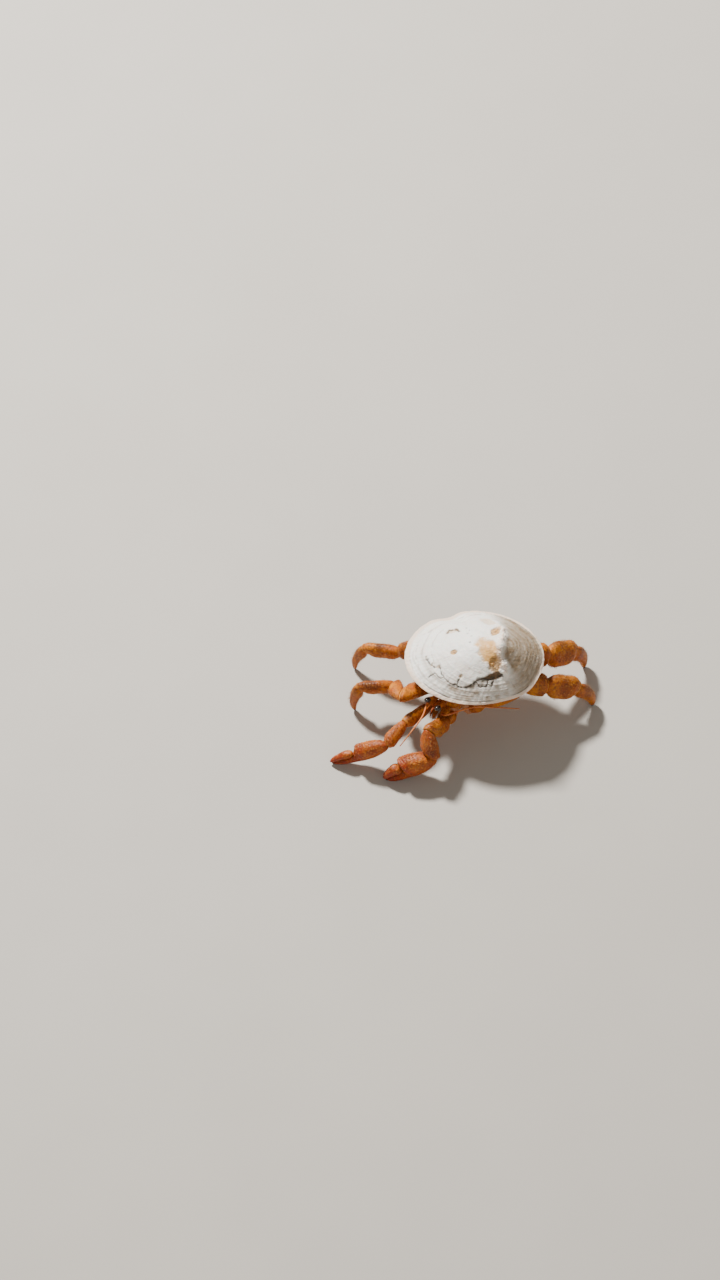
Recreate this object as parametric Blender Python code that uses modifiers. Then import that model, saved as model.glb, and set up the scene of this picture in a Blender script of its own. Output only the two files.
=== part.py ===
"""A hermit crab striding sideways under a worn, cap-shaped sea shell, life size.

The numbers below are millimetres in the crab's own frame: +X is its left, -Y is where it
faces and +Z is up, with the floor at zero. MM turns them into metres as each mesh is made,
and STANCE_CENTRE moves the middle of the crab's reach to the origin.
"""

import math
from collections import namedtuple

import bmesh
import bpy
from mathutils import Matrix, Vector

MM = 0.001
STANCE_CENTRE = Vector((-1.78, -4.1, 0.0))
GAP = 0.16  # between pieces that meet at a joint
UP = Vector((0, 0, 1))
HANDS = (("left", 1), ("right", -1))
SHARP_ANGLE = math.radians(50)

# The shell: an oval cap whose long axis is turned from the crab's own X axis.
SHELL_TURN = math.radians(35)
SHELL_SLIDE = -0.28  # of its middle, along its long axis
SHELL_HALF_LENGTH = 12.85
SHELL_HALF_WIDTH = 10.55
SHELL_RISE = 7.6
SHELL_RIM_HEIGHT = 14.0
SHELL_WALL = 0.8
SHELL_APEX = Vector((4.5, -2.7))  # along and across the shell from its middle
SHELL_SWELL = 1.5  # 1 is a straight cone, 2 a round dome
SHELL_SWELL_LEAN = (math.radians(130), 0.3)  # rounder towards this angle, straighter opposite
SHELL_LIP = (0.93, 0.55)  # where the flare of the rim starts, and its height there
SHELL_CHIP = (math.radians(113), 0.17, -0.075)  # angle, spread and depth of the broken rim
SHELL_CORNER = (math.radians(-46), 0.26, 0.04)  # the fuller shoulder of the rim
SHELL_RAYS = 44
SHELL_SHARES = (0.1, 0.22, 0.36, 0.5, 0.64, 0.77, 0.87, 0.93, 1.0)

# The trunk sits under the shell turned a little to its right. Its points are given unturned.
TRUNK_TURN = math.radians(-10)
TRUNK_PIVOT = Vector((0, -2.8, 0))
BROW = (0, -9.0, 9.8)
NECK = (0, -1.4, 10.1)
WAIST = (0, 4.4, 10.5)
KEEL_FRONT = (0, -7.8, 6.0)
KEEL_BACK = (0, 1.8, 6.0)
TRUNK_SQUARENESS = 2.3  # 2 is a plain ellipse
# Its sections, like those of the limbs below: share of the length, half width, half height,
# lift of the centre.
SHIELD_SECTIONS = (
    (0, 1.5, 1.3, 0.1),
    (0.06, 2.2, 1.9, 0.1),
    (0.25, 2.9, 2.6, 0.15),
    (0.55, 3.4, 2.9, 0.15),
    (0.85, 3.6, 3.0, 0.1),
    (0.96, 3.4, 2.8, 0),
    (1, 3.0, 2.4, 0),
)
REAR_SECTIONS = (
    (0, 3.0, 2.4, 0),
    (0.08, 3.4, 2.8, 0),
    (0.45, 3.6, 2.9, 0),
    (0.85, 3.0, 2.5, 0.1),
    (1, 2.4, 2.0, 0.1),
)
STERNUM_SECTIONS = ((0, 0.9, 0.35, 0), (0.1, 1.5, 0.6, 0), (0.6, 1.75, 0.65, 0), (1, 1.1, 0.35, 0))

# The soft abdomen curls up and round into the shell. Knots of its middle line with the radius
# at each, and the rows of the smoothed line where its pieces begin and end.
BELLY_PATH = (
    (0, 4.7, 10.6), (0, 6.0, 10.9), (0.1, 7.1, 12.3), (0.4, 6.7, 14.1),
    (0.9, 5.0, 15.2), (1.6, 3.3, 15.6), (2.3, 1.8, 15.7), (2.9, 0.5, 15.7),
)
BELLY_RADII = (1.9, 2.3, 2.2, 1.95, 1.7, 1.4, 1.5, 0.9)
BELLY_CUTS = (
    ("abdomen_front", 0, 7, "soft"), ("abdomen_back", 7, 14, "soft"), ("tail_fan", 14, 21, "claw"),
)

# The head, drawn for the left side; the right side has the opposite x.
EYESTALK_ROOT = (0.8, -9.2, 10.6)
EYESTALK_TIP = (1.15, -11.1, 11.3)
EYESTALK_RADII = (0.42, 0.5, 0.46, 0.5)
EYESTALK_FLATNESS = 0.85
EYE_SEAT = 0.78  # its centre, beyond the tip of the stalk
EYE_RADII = Vector((0.56, 0.56, 0.68))
ANTENNULE_PATH = ((0.38, -9.2, 9.6), (0.4, -10.6, 9.8), (0.42, -11.8, 10.9), (0.45, -12.6, 10.7))
ANTENNULE_RADII = (0.34, 0.27)
ANTENNA_BASE_PATH = ((1.6, -9.25, 9.0), (1.7, -10.2, 9.1), (1.8, -11.1, 9.4))
ANTENNA_BASE_RADII = (0.5, 0.58, 0.5, 0.42)
JAW_FOOT_PATH = ((0.6, -8.8, 7.3), (0.64, -10.2, 6.9), (0.6, -10.9, 5.4))
JAW_FOOT_RADII = (0.48, 0.54, 0.5, 0.34)
ANTENNA_ROOT = (1.83, -11.34, 9.52)
# The rest of each feeler hangs free, so these points don't turn with the trunk.
ANTENNA_REACH = {
    "right": ((-2.1, -14.3, 10.1), (-2.1, -17.8, 9.5), (-2.7, -20.6, 7.6)),
    "left": ((1.6, -11.5, 10.5), (4.8, -7.9, 11.3), (8.3, -5.2, 10.9), (11.4, -2.4, 9.7)),
}
ANTENNA_RADII = (0.31, 0.25)

# The small gripping legs, drawn for the left side.
LEG4_PATH = ((3.75, 0.0, 10.8), (4.7, -0.2, 11.9), (5.1, 1.0, 13.2), (4.9, 2.1, 14.5))
LEG4_RADII = (0.5, 0.72, 0.78, 0.6, 0.4)
LEG5_PATH = ((3.25, 3.3, 11.9), (3.5, 4.5, 12.8), (3.5, 5.4, 13.6), (3.3, 6.0, 14.4))
LEG5_RADII = (0.36, 0.46, 0.46, 0.4, 0.32)

# Walking legs, from the hip out: base, merus, carpus, propodus and dactyl.
LEG_PARTS = ("base", "merus", "carpus", "propodus", "dactyl")
LEG_STOUTNESS = (0, 0.22, 0.6, 1, 0.65)  # share of a leg's extra width that a piece takes
SECOND_LEG = (2.8, 7.8, 4.8, 6.4, 7.4)
THIRD_LEG = (2.8, 7.9, 4.8, 6.8, 7.6)

# Sections of a limb piece: share of its length, half width, half height, lift of the centre.
BASE_SECTIONS = ((0, 0.7, 0.75, 0), (0.25, 1.0, 1.05, 0), (0.75, 1.05, 1.1, 0), (1, 0.75, 0.8, 0))
MERUS_SECTIONS = (
    (0, 0.75, 0.8, 0),
    (0.12, 1.05, 1.25, 0),
    (0.35, 1.2, 1.6, 0.05),
    (0.7, 1.3, 1.75, 0.05),
    (0.92, 1.2, 1.5, 0),
    (1, 0.9, 1.05, 0),
)
CARPUS_SECTIONS = (
    (0, 0.8, 0.95, 0),
    (0.2, 1.0, 1.2, 0),
    (0.6, 1.2, 1.5, 0.08),
    (0.88, 1.15, 1.4, 0.05),
    (1, 0.8, 0.95, 0),
)
PROPODUS_SECTIONS = (
    (0, 0.75, 0.9, 0),
    (0.12, 0.95, 1.2, 0),
    (0.5, 1.0, 1.35, 0),
    (0.88, 0.9, 1.1, 0),
    (1, 0.62, 0.72, 0),
)
DACTYL_SECTIONS = (
    (0, 0.6, 0.7, 0),
    (0.12, 0.78, 0.95, 0.1),
    (0.4, 0.72, 0.85, 0.45),
    (0.7, 0.52, 0.6, 0.5),
    (0.92, 0.34, 0.36, 0.18),
    (1, 0.26, 0.26, 0),
)
LEG_SECTIONS = (
    BASE_SECTIONS, MERUS_SECTIONS, CARPUS_SECTIONS, PROPODUS_SECTIONS, DACTYL_SECTIONS,
)
ARM_SECTIONS = (
    (0, 0.8, 0.9, 0),
    (0.12, 1.15, 1.35, 0),
    (0.55, 1.35, 1.7, 0.05),
    (0.9, 1.35, 1.65, 0),
    (1, 1.0, 1.15, 0),
)
WRIST_SECTIONS = (
    (0, 1.0, 1.15, 0),
    (0.18, 1.3, 1.5, 0),
    (0.6, 1.6, 1.85, 0.1),
    (0.9, 1.5, 1.7, 0),
    (1, 1.0, 1.15, 0),
)
PALM_SECTIONS = (
    (0, 1.0, 1.15, 0),
    (0.06, 1.4, 1.7, 0.1),
    (0.18, 1.8, 2.2, 0.25),
    (0.36, 2.0, 2.5, 0.35),
    (0.5, 1.8, 2.25, 0.2),
    (0.56, 1.4, 1.45, -0.55),
    (0.64, 1.1, 1.0, -0.9),
    (0.8, 0.85, 0.8, -0.75),
    (0.93, 0.6, 0.58, -0.3),
    (1, 0.36, 0.36, 0),
)
FINGER_SECTIONS = (
    (0, 0.7, 0.62, 0),
    (0.14, 1.0, 1.0, 0.25),
    (0.45, 0.9, 0.92, 0.5),
    (0.75, 0.66, 0.66, 0.35),
    (0.93, 0.46, 0.44, 0.1),
    (1, 0.3, 0.28, 0),
)

# A leg's stance: hip on the trunk, foot on the floor, slopes in degrees of its base, propodus
# and dactyl, how far its knee leans forward from upright, how far its outer pieces roll
# forward, and how wide and deep they are.
Leg = namedtuple("Leg", "hip foot lengths base_slope hand_slope toe_slope lean roll width depth")
LEGS = {
    "leg2_right": Leg(
        (-3.1, -5.0, 5.9), (-16.9, -14.6), SECOND_LEG, 30, -2, -84, 55, 10, 1.1, 1.1
    ),
    "leg3_right": Leg(
        (-3.7, -0.8, 5.9), (-22.2, -7.0), THIRD_LEG, 10, -12, -76, 0, 0, 1.1, 1.1
    ),
    "leg2_left": Leg(
        (3.1, -5.0, 5.9), (18.8, 11.7), SECOND_LEG, 24, -24, -64, -30, -30, 1.35, 1.7
    ),
    "leg3_left": Leg(
        (3.7, -0.8, 5.9), (12.9, 18.0), THIRD_LEG, 30, -28, -70, -24, -35, 1.35, 1.75
    ),
}
# A claw limb: hip and shoulder on the trunk, wrist end, claw tip, the way its elbow bends,
# lengths of arm and wrist, and its width and depth beside the sections above.
Claw = namedtuple("Claw", "hip shoulder wrist tip pole lengths width depth")
CLAWS = {
    "claw_right": Claw(
        (-1.75, -8.0, 6.2), (-2.4, -10.0, 6.6), (-5.4, -21.0, 6.4), (-13.5, -26.7, 0.2),
        (-0.4, 0.1, 0.9), (6.6, 5.2), 0.76, 0.7,
    ),
    "claw_left": Claw(
        (1.75, -8.0, 6.2), (2.2, -10.2, 6.6), (2.4, -18.0, 5.6), (-3.3, -24.0, 0.26),
        (-0.35, 0.1, 0.9), (6.4, 4.6), 1.0, 1.0,
    ),
}
# The movable finger's two ends: share of the palm's length, and height above its middle line.
FINGER_HINGE = (0.595, 1.24)
FINGER_POINT = (1.01, 0.86)
FINGER_DEPTH = 0.9

COLOURS = {
    "shell": ((0.83, 0.79, 0.72, 1), 0.55),
    "crust": ((0.55, 0.20, 0.035, 1), 0.4),
    "claw": ((0.60, 0.17, 0.03, 1), 0.38),
    "soft": ((0.62, 0.30, 0.16, 1), 0.5),
    "eye": ((0.02, 0.015, 0.012, 1), 0.12),
    "feeler": ((0.50, 0.16, 0.05, 1), 0.45),
}


def clear_scene():
    for thing in list(bpy.data.objects):
        bpy.data.objects.remove(thing)


def material(name):
    found = bpy.data.materials.get(name)
    if found:
        return found
    made = bpy.data.materials.new(name)
    made.use_nodes = True
    colour, roughness = COLOURS[name]
    surface = made.node_tree.nodes["Principled BSDF"]
    surface.inputs["Base Color"].default_value = colour
    surface.inputs["Roughness"].default_value = roughness
    surface.inputs["Metallic"].default_value = 0.0
    made.diffuse_color = colour
    return made


def collection():
    found = bpy.data.collections.get("Hermit crab")
    if not found:
        found = bpy.data.collections.new("Hermit crab")
        bpy.context.scene.collection.children.link(found)
    return found


def add_object(name, mesh_data, finish):
    """Puts a mesh made in millimetres into the scene, in metres."""
    bmesh.ops.translate(mesh_data, verts=mesh_data.verts, vec=-STANCE_CENTRE)
    bmesh.ops.scale(mesh_data, verts=mesh_data.verts, vec=(MM, MM, MM))
    mesh = bpy.data.meshes.new(name)
    mesh_data.to_mesh(mesh)
    mesh_data.free()
    mesh.materials.append(material(finish))
    mesh.shade_smooth()
    mesh.set_sharp_from_angle(angle=SHARP_ANGLE)
    made = bpy.data.objects.new(name, mesh)
    collection().objects.link(made)
    return made


def on_trunk(point):
    """A point of the trunk, or fixed to it, once the trunk is turned."""
    return TRUNK_PIVOT + Matrix.Rotation(TRUNK_TURN, 3, "Z") @ (Vector(point) - TRUNK_PIVOT)


def trunk_way(direction):
    return Matrix.Rotation(TRUNK_TURN, 3, "Z") @ Vector(direction)


def oval(centre, side, rise, half_width, half_height, sides, squareness=2.0):
    """A ring of points: a superellipse, which is a plain ellipse at a squareness of 2."""
    power = 2.0 / squareness
    ring = []
    for step in range(sides):
        angle = 2 * math.pi * step / sides
        across = math.copysign(abs(math.cos(angle)) ** power, math.cos(angle))
        upward = math.copysign(abs(math.sin(angle)) ** power, math.sin(angle))
        ring.append(centre + side * (half_width * across) + rise * (half_height * upward))
    return ring


def loft(rings):
    """A closed skin through rings of equal count, with a flat cap at both ends."""
    skin = bmesh.new()
    rows = [[skin.verts.new(point) for point in ring] for ring in rings]
    for near, far in zip(rows, rows[1:]):
        for step in range(len(near)):
            after = (step + 1) % len(near)
            skin.faces.new((near[step], near[after], far[after], far[step]))
    skin.faces.new(rows[0])
    skin.faces.new(rows[-1])
    bmesh.ops.recalc_face_normals(skin, faces=skin.faces)
    return skin


def limb_rings(start, end, side, sections, near_plane, far_plane, width, depth, sides=10):
    """Rings of a limb piece, whose end rings are cut off along the two planes given.

    side is the way across the piece; sections are scaled by width and depth.
    """
    along = (end - start).normalized()
    side = (side - along * side.dot(along)).normalized()
    rise = side.cross(along)
    if rise.z < 0:
        rise = -rise
    rings = []
    for share, half_width, half_height, lift in sections:
        ring = []
        centre = start + rise * (lift * depth)
        for point in oval(centre, side, rise, half_width * width, half_height * depth, sides):
            first = (near_plane[0] - point).dot(near_plane[1]) / along.dot(near_plane[1])
            last = (far_plane[0] - point).dot(far_plane[1]) / along.dot(far_plane[1])
            ring.append(point + along * (first + (last - first) * share))
        rings.append(ring)
    return rings


def joint_plane(before, joint, after, ahead):
    """The plane that halves the bend at a joint, half a gap ahead of it or behind it."""
    normal = ((joint - before).normalized() + (after - joint).normalized()).normalized()
    return joint + normal * (GAP / 2 if ahead else -GAP / 2), normal


def end_planes(joints, place):
    """The planes that cut off the piece between joint number place and the next one."""
    start, end = joints[place], joints[place + 1]
    along = (end - start).normalized()
    near, far = (start, along), (end, along)
    if place:
        near = joint_plane(joints[place - 1], start, end, True)
    if place + 2 < len(joints):
        far = joint_plane(start, end, joints[place + 2], False)
    return near, far


def elbow(start, end, first, second, pole):
    """The joint between two links of known length, on the side that pole points to."""
    line = end - start
    reach = line.length
    if not abs(first - second) < reach < first + second:
        raise ValueError(f"links of {first} and {second} mm can't span {reach:.2f} mm")
    along = (first**2 - second**2 + reach**2) / (2 * reach)
    out = math.sqrt(first**2 - along**2)
    direction = line / reach
    pole = Vector(pole)
    outward = (pole - direction * pole.dot(direction)).normalized()
    return start + direction * along + outward * out


def leaned(forward, degrees):
    angle = math.radians(degrees)
    return UP * math.cos(angle) + forward * math.sin(angle)


def leg_joints(leg):
    """Hip, the four joints and the tip of a walking leg, with its outward and forward ways."""
    hip = on_trunk(leg.hip)
    foot = Vector((*leg.foot, 0.0))
    outward = Vector((foot.x - hip.x, foot.y - hip.y, 0)).normalized()
    forward = outward.cross(UP) * math.copysign(1, leg.hip[0])

    def sloped(length, degrees):
        angle = math.radians(degrees)
        return length * (outward * math.cos(angle) + UP * math.sin(angle))

    base, merus, carpus, propodus, dactyl = leg.lengths
    first = hip + sloped(base, leg.base_slope)
    ankle = foot - sloped(dactyl, leg.toe_slope)
    hand = ankle - sloped(propodus, leg.hand_slope)
    knee = elbow(first, hand, merus, carpus, leaned(forward, leg.lean))
    return [hip, first, knee, hand, ankle, foot], outward, forward


def make_leg(name, leg):
    joints, outward, forward = leg_joints(leg)
    arch = (joints[2] - joints[1]).cross(joints[3] - joints[2]).normalized()
    rolled = leaned(forward, leg.roll).cross(outward)
    sides = (forward, arch, arch, rolled, rolled)
    for place, (part, sections, side) in enumerate(zip(LEG_PARTS, LEG_SECTIONS, sides)):
        near, far = end_planes(joints, place)
        if part == "dactyl":
            far = (joints[-1], -UP)
        stout = [1 + (full - 1) * LEG_STOUTNESS[place] for full in (leg.width, leg.depth)]
        rings = limb_rings(joints[place], joints[place + 1], side, sections, near, far, *stout)
        add_object(f"{name}_{part}", loft(rings), "crust")


def make_claw_limb(name, claw):
    hip, shoulder = on_trunk(claw.hip), on_trunk(claw.shoulder)
    wrist, tip = Vector(claw.wrist), Vector(claw.tip)
    bend = elbow(shoulder, wrist, *claw.lengths, claw.pole)
    joints = [hip, shoulder, bend, wrist, tip]
    sections = (BASE_SECTIONS, ARM_SECTIONS, WRIST_SECTIONS, PALM_SECTIONS)
    for place, part in enumerate(("base", "arm", "wrist", "palm")):
        start, end = joints[place], joints[place + 1]
        near, far = end_planes(joints, place)
        across = (end - start).cross(UP)
        stout = (claw.width, claw.depth)
        rings = limb_rings(start, end, across, sections[place], near, far, *stout, sides=12)
        add_object(f"{name}_{part}", loft(on_floor(rings)), "crust" if place < 2 else "claw")
    make_finger(name, wrist, tip, claw)


def make_finger(name, wrist, tip, claw):
    """The movable finger, hinged above the fixed one and closing on its tip."""
    along = (tip - wrist).normalized()
    across = along.cross(UP).normalized()
    rise = across.cross(along)
    length = (tip - wrist).length
    hinge, point = [
        wrist + along * (share * length) + rise * (height * claw.depth)
        for share, height in (FINGER_HINGE, FINGER_POINT)
    ]
    planes = (hinge, along), (point, along)
    stout = (claw.width, claw.depth * FINGER_DEPTH)
    rings = limb_rings(hinge, point, across, FINGER_SECTIONS, *planes, *stout)
    add_object(f"{name}_finger", loft(on_floor(rings)), "claw")


def on_floor(rings):
    """Flattens what would reach below the floor."""
    return [[Vector((p.x, p.y, max(p.z, 0.0))) for p in ring] for ring in rings]


def spline(points, steps):
    """Points on a smooth curve through the given ones, evenly spaced between each pair."""
    points = [Vector(p) for p in points]
    padded = [2 * points[0] - points[1], *points, 2 * points[-1] - points[-2]]
    path = []
    for a, b, c, d in zip(padded, padded[1:], padded[2:], padded[3:]):
        for step in range(steps):
            t = step / steps
            path.append(
                0.5 * (2 * b + (c - a) * t + (2 * a - 5 * b + 4 * c - d) * t**2
                       + (3 * b - a - 3 * c + d) * t**3)
            )
    path.append(points[-1])
    return path


def bent_rings(points, radii, side=(1, 0, 0), flat=1.0, sides=10, steps=3):
    """Rings along a smooth path; flat below 1 makes them narrower than tall."""
    path = spline(points, steps)
    side = Vector(side)
    rings = []
    for place, centre in enumerate(path):
        ahead = path[min(place + 1, len(path) - 1)] - path[max(place - 1, 0)]
        along = ahead.normalized()
        side = (side - along * side.dot(along)).normalized()
        share = place / (len(path) - 1) * (len(radii) - 1)
        low = min(int(share), len(radii) - 2)
        radius = radii[low] + (radii[low + 1] - radii[low]) * (share - low)
        rings.append(oval(centre, side, along.cross(side), radius * flat, radius, sides))
    return rings


def make_bent(name, points, radii, finish, **shape):
    """A tapering bent piece fixed to the trunk."""
    points = [on_trunk(point) for point in points]
    return add_object(name, loft(bent_rings(points, radii, **shape)), finish)


def make_trunk_piece(name, start, end, sections, finish, sides=16):
    side = trunk_way((1, 0, 0))
    rings = []
    for share, half_width, half_height, lift in sections:
        centre = on_trunk(Vector(start).lerp(Vector(end), share)) + UP * lift
        ring = oval(centre, side, UP, half_width, half_height, sides, TRUNK_SQUARENESS)
        rings.append(ring)
    return add_object(name, loft(rings), finish)


def make_trunk():
    make_trunk_piece("shield", BROW, NECK, SHIELD_SECTIONS, "crust")
    rear_start = Vector(NECK) + Vector((0, GAP, 0))
    make_trunk_piece("rear_carapace", rear_start, WAIST, REAR_SECTIONS, "soft")
    make_trunk_piece("sternum", KEEL_FRONT, KEEL_BACK, STERNUM_SECTIONS, "soft", sides=10)


def make_belly():
    """The soft abdomen and tail fan, curling up and round into the hollow of the shell."""
    path = [on_trunk(point) for point in BELLY_PATH]
    rings = bent_rings(path, BELLY_RADII, sides=14)
    for name, first, last, finish in BELLY_CUTS:
        piece = [list(ring) for ring in rings[first:last + 1]]
        if first:
            piece[0] = drawn_in(piece[0], piece[1])
        if last < len(rings) - 1:
            piece[-1] = drawn_in(piece[-1], piece[-2])
        add_object(name, loft(piece), finish)


def drawn_in(ring, towards):
    """An end ring moved half a gap towards the ring beside it."""
    middle = sum(ring, Vector()) / len(ring)
    way = (sum(towards, Vector()) / len(towards) - middle).normalized()
    return [point + way * (GAP / 2) for point in ring]


def handed(points, hand):
    """Points given for the left side, moved to the side that hand says: 1 left, -1 right."""
    return [Vector((x * hand, y, z)) for x, y, z in points]


def make_head():
    for word, hand in HANDS:
        root, tip = handed((EYESTALK_ROOT, EYESTALK_TIP), hand)
        make_bent(
            f"eyestalk_{word}", (root, root.lerp(tip, 0.5), tip), EYESTALK_RADII, "crust",
            flat=EYESTALK_FLATNESS, steps=2,
        )
        along = (tip - root).normalized()
        make_eye(f"eye_{word}", on_trunk(tip + along * EYE_SEAT), trunk_way(along))
        make_bent(
            f"antenna_base_{word}", handed(ANTENNA_BASE_PATH, hand), ANTENNA_BASE_RADII,
            "crust", steps=2, sides=8,
        )
        make_bent(
            f"jaw_foot_{word}", handed(JAW_FOOT_PATH, hand), JAW_FOOT_RADII,
            "crust", steps=2, sides=8,
        )
        antennule = [on_trunk(point) for point in handed(ANTENNULE_PATH, hand)]
        make_feeler(f"antennule_{word}", antennule, ANTENNULE_RADII, steps=2)
        root = on_trunk(handed((ANTENNA_ROOT,), hand)[0])
        reach = [Vector(point) for point in ANTENNA_REACH[word]]
        make_feeler(f"antenna_{word}", (root, *reach), ANTENNA_RADII, steps=5)


def make_feeler(name, points, radii, steps):
    """A thin tapering feeler: a bevelled curve with filled ends."""
    root_radius, tip_radius = radii
    curve = bpy.data.curves.new(name, "CURVE")
    curve.dimensions = "3D"
    curve.bevel_depth = root_radius * MM
    curve.bevel_resolution = 1
    curve.use_fill_caps = True
    path = spline(points, steps)
    line = curve.splines.new("POLY")
    line.points.add(len(path) - 1)
    for place, (point, knot) in enumerate(zip(path, line.points)):
        share = place / (len(path) - 1)
        knot.co = (*((point - STANCE_CENTRE) * MM), 1)
        knot.radius = 1 + (tip_radius / root_radius - 1) * share
    curve.materials.append(material("feeler"))
    made = bpy.data.objects.new(name, curve)
    collection().objects.link(made)
    return made


def make_eye(name, centre, along):
    """A long eye, as land hermits have."""
    eye = bmesh.new()
    bmesh.ops.create_uvsphere(eye, u_segments=12, v_segments=8, radius=1.0)
    turn = along.to_track_quat("Z", "Y").to_matrix()
    for vertex in eye.verts:
        vertex.co = centre + turn @ (vertex.co * EYE_RADII)
    return add_object(name, eye, "eye")


def make_gripping_legs():
    """The small fourth and fifth legs, which hold the shell from inside."""
    for word, hand in HANDS:
        for name, path, radii in (("leg4", LEG4_PATH, LEG4_RADII), ("leg5", LEG5_PATH, LEG5_RADII)):
            make_bent(f"{name}_{word}", handed(path, hand), radii, "crust", sides=8)


def bump(angle, centre, spread, height):
    off = math.remainder(angle - centre, 2 * math.pi)
    return height * math.exp(-((off / spread) ** 2))


def shell_height(share, angle):
    """Height above the rim's plane: a dome down to the lip, then the flare of the lip."""
    lip_share, lip_height = SHELL_LIP
    if share >= lip_share:
        return lip_height * (1 - share) / (1 - lip_share)
    rounder, more = SHELL_SWELL_LEAN
    swell = SHELL_SWELL + more * math.cos(angle - rounder)
    return lip_height + (SHELL_RISE - lip_height) * (1 - (share / lip_share) ** swell)


def shell_point(share, angle):
    """A point of the shell's outer face. share is 0 at the apex and 1 at the rim."""
    grow = 1 + bump(angle, *SHELL_CHIP) + bump(angle, *SHELL_CORNER)
    rim = Vector((SHELL_HALF_LENGTH * math.cos(angle), SHELL_HALF_WIDTH * math.sin(angle)))
    place = SHELL_APEX.lerp(rim * grow, share) + Vector((SHELL_SLIDE, 0))
    turned = Matrix.Rotation(SHELL_TURN, 2) @ place
    return Vector((turned.x, turned.y, SHELL_RIM_HEIGHT + shell_height(share, angle)))


def make_shell():
    cap = bmesh.new()
    apex = cap.verts.new(shell_point(0, 0))
    inner = None
    for share in SHELL_SHARES:
        row = [
            cap.verts.new(shell_point(share, 2 * math.pi * ray / SHELL_RAYS))
            for ray in range(SHELL_RAYS)
        ]
        for ray in range(SHELL_RAYS):
            after = (ray + 1) % SHELL_RAYS
            if inner is None:
                cap.faces.new((apex, row[ray], row[after]))
            else:
                cap.faces.new((inner[ray], row[ray], row[after], inner[after]))
        inner = row
    bmesh.ops.recalc_face_normals(cap, faces=cap.faces)
    if sum(face.normal.z for face in cap.faces) < 0:
        bmesh.ops.reverse_faces(cap, faces=cap.faces)
    shell = add_object("shell", cap, "shell")
    wall = shell.modifiers.new("Wall", "SOLIDIFY")
    wall.thickness = SHELL_WALL * MM
    wall.offset = -1
    wall.use_even_offset = True
    return shell


def main():
    clear_scene()
    make_shell()
    make_trunk()
    make_belly()
    make_head()
    make_gripping_legs()
    for name, leg in LEGS.items():
        make_leg(name, leg)
    for name, claw in CLAWS.items():
        make_claw_limb(name, claw)


main()
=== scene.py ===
"""The finished surface of a life-size hermit crab, striding under a worn, cap-shaped sea shell.

Sizes are millimetres in the crab's own frame, +X its left and -Y where it faces, unless a
name or a unit says otherwise. row_points() turns them into metres in the frame of the solids.
"""

import math
from collections import namedtuple
from itertools import chain

import bmesh
import bpy
import numpy as np
from mathutils import Matrix, Vector


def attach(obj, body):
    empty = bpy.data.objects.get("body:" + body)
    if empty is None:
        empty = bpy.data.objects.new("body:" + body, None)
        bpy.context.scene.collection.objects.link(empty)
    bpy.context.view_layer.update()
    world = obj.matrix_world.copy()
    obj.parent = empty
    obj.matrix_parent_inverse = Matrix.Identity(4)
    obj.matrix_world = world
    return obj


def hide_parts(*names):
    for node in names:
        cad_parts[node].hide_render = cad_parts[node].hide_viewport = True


bl_info = {
    "name": "Hermit crab",
    "version": (1, 0, 0),
    "blender": (4, 5, 0),
    "location": "3D View > Sidebar > Hermit crab",
    "description": "Dresses the solids of a small hermit crab with shell, crust, skin and bristles",
    "category": "Object",
}

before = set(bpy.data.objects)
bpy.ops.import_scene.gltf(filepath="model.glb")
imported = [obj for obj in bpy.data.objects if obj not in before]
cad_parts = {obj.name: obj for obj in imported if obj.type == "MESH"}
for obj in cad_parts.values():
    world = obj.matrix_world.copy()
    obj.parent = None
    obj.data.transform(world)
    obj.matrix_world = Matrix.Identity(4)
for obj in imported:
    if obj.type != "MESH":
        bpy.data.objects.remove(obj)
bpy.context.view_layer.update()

MM = 0.001
STANCE_CENTRE = Vector((-1.78, -4.1, 0.0))
GAP = 0.16
UP = Vector((0, 0, 1))
HANDS = (("left", 1), ("right", -1))

# ---- the shell's form
SHELL_TURN = math.radians(35)
SHELL_SPIN = np.array(Matrix.Rotation(SHELL_TURN, 2))
SHELL_SLIDE = -0.28
SHELL_HALF_LENGTH = 12.85
SHELL_HALF_WIDTH = 10.55
SHELL_RISE = 7.6
SHELL_RIM_HEIGHT = 14.0
SHELL_WALL = 0.8
RIM_WALL = 0.35  # its wall at the very rim
SHELL_APEX = (4.5, -2.7)
SHELL_SWELL = 1.5
SHELL_SWELL_LEAN = (math.radians(130), 0.3)
SHELL_LIP = (0.93, 0.55)
SHELL_CHIP = (math.radians(113), 0.17, -0.075)
SHELL_CORNER = (math.radians(-46), 0.26, 0.04)
SHELL_RAYS = 480  # columns of its mesh
SHELL_ROWS = 150
LINING_ROWS = 48
GROWTH_LINES = 46  # from the apex to the rim
RIBLETS = 74  # faint rays round it

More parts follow.
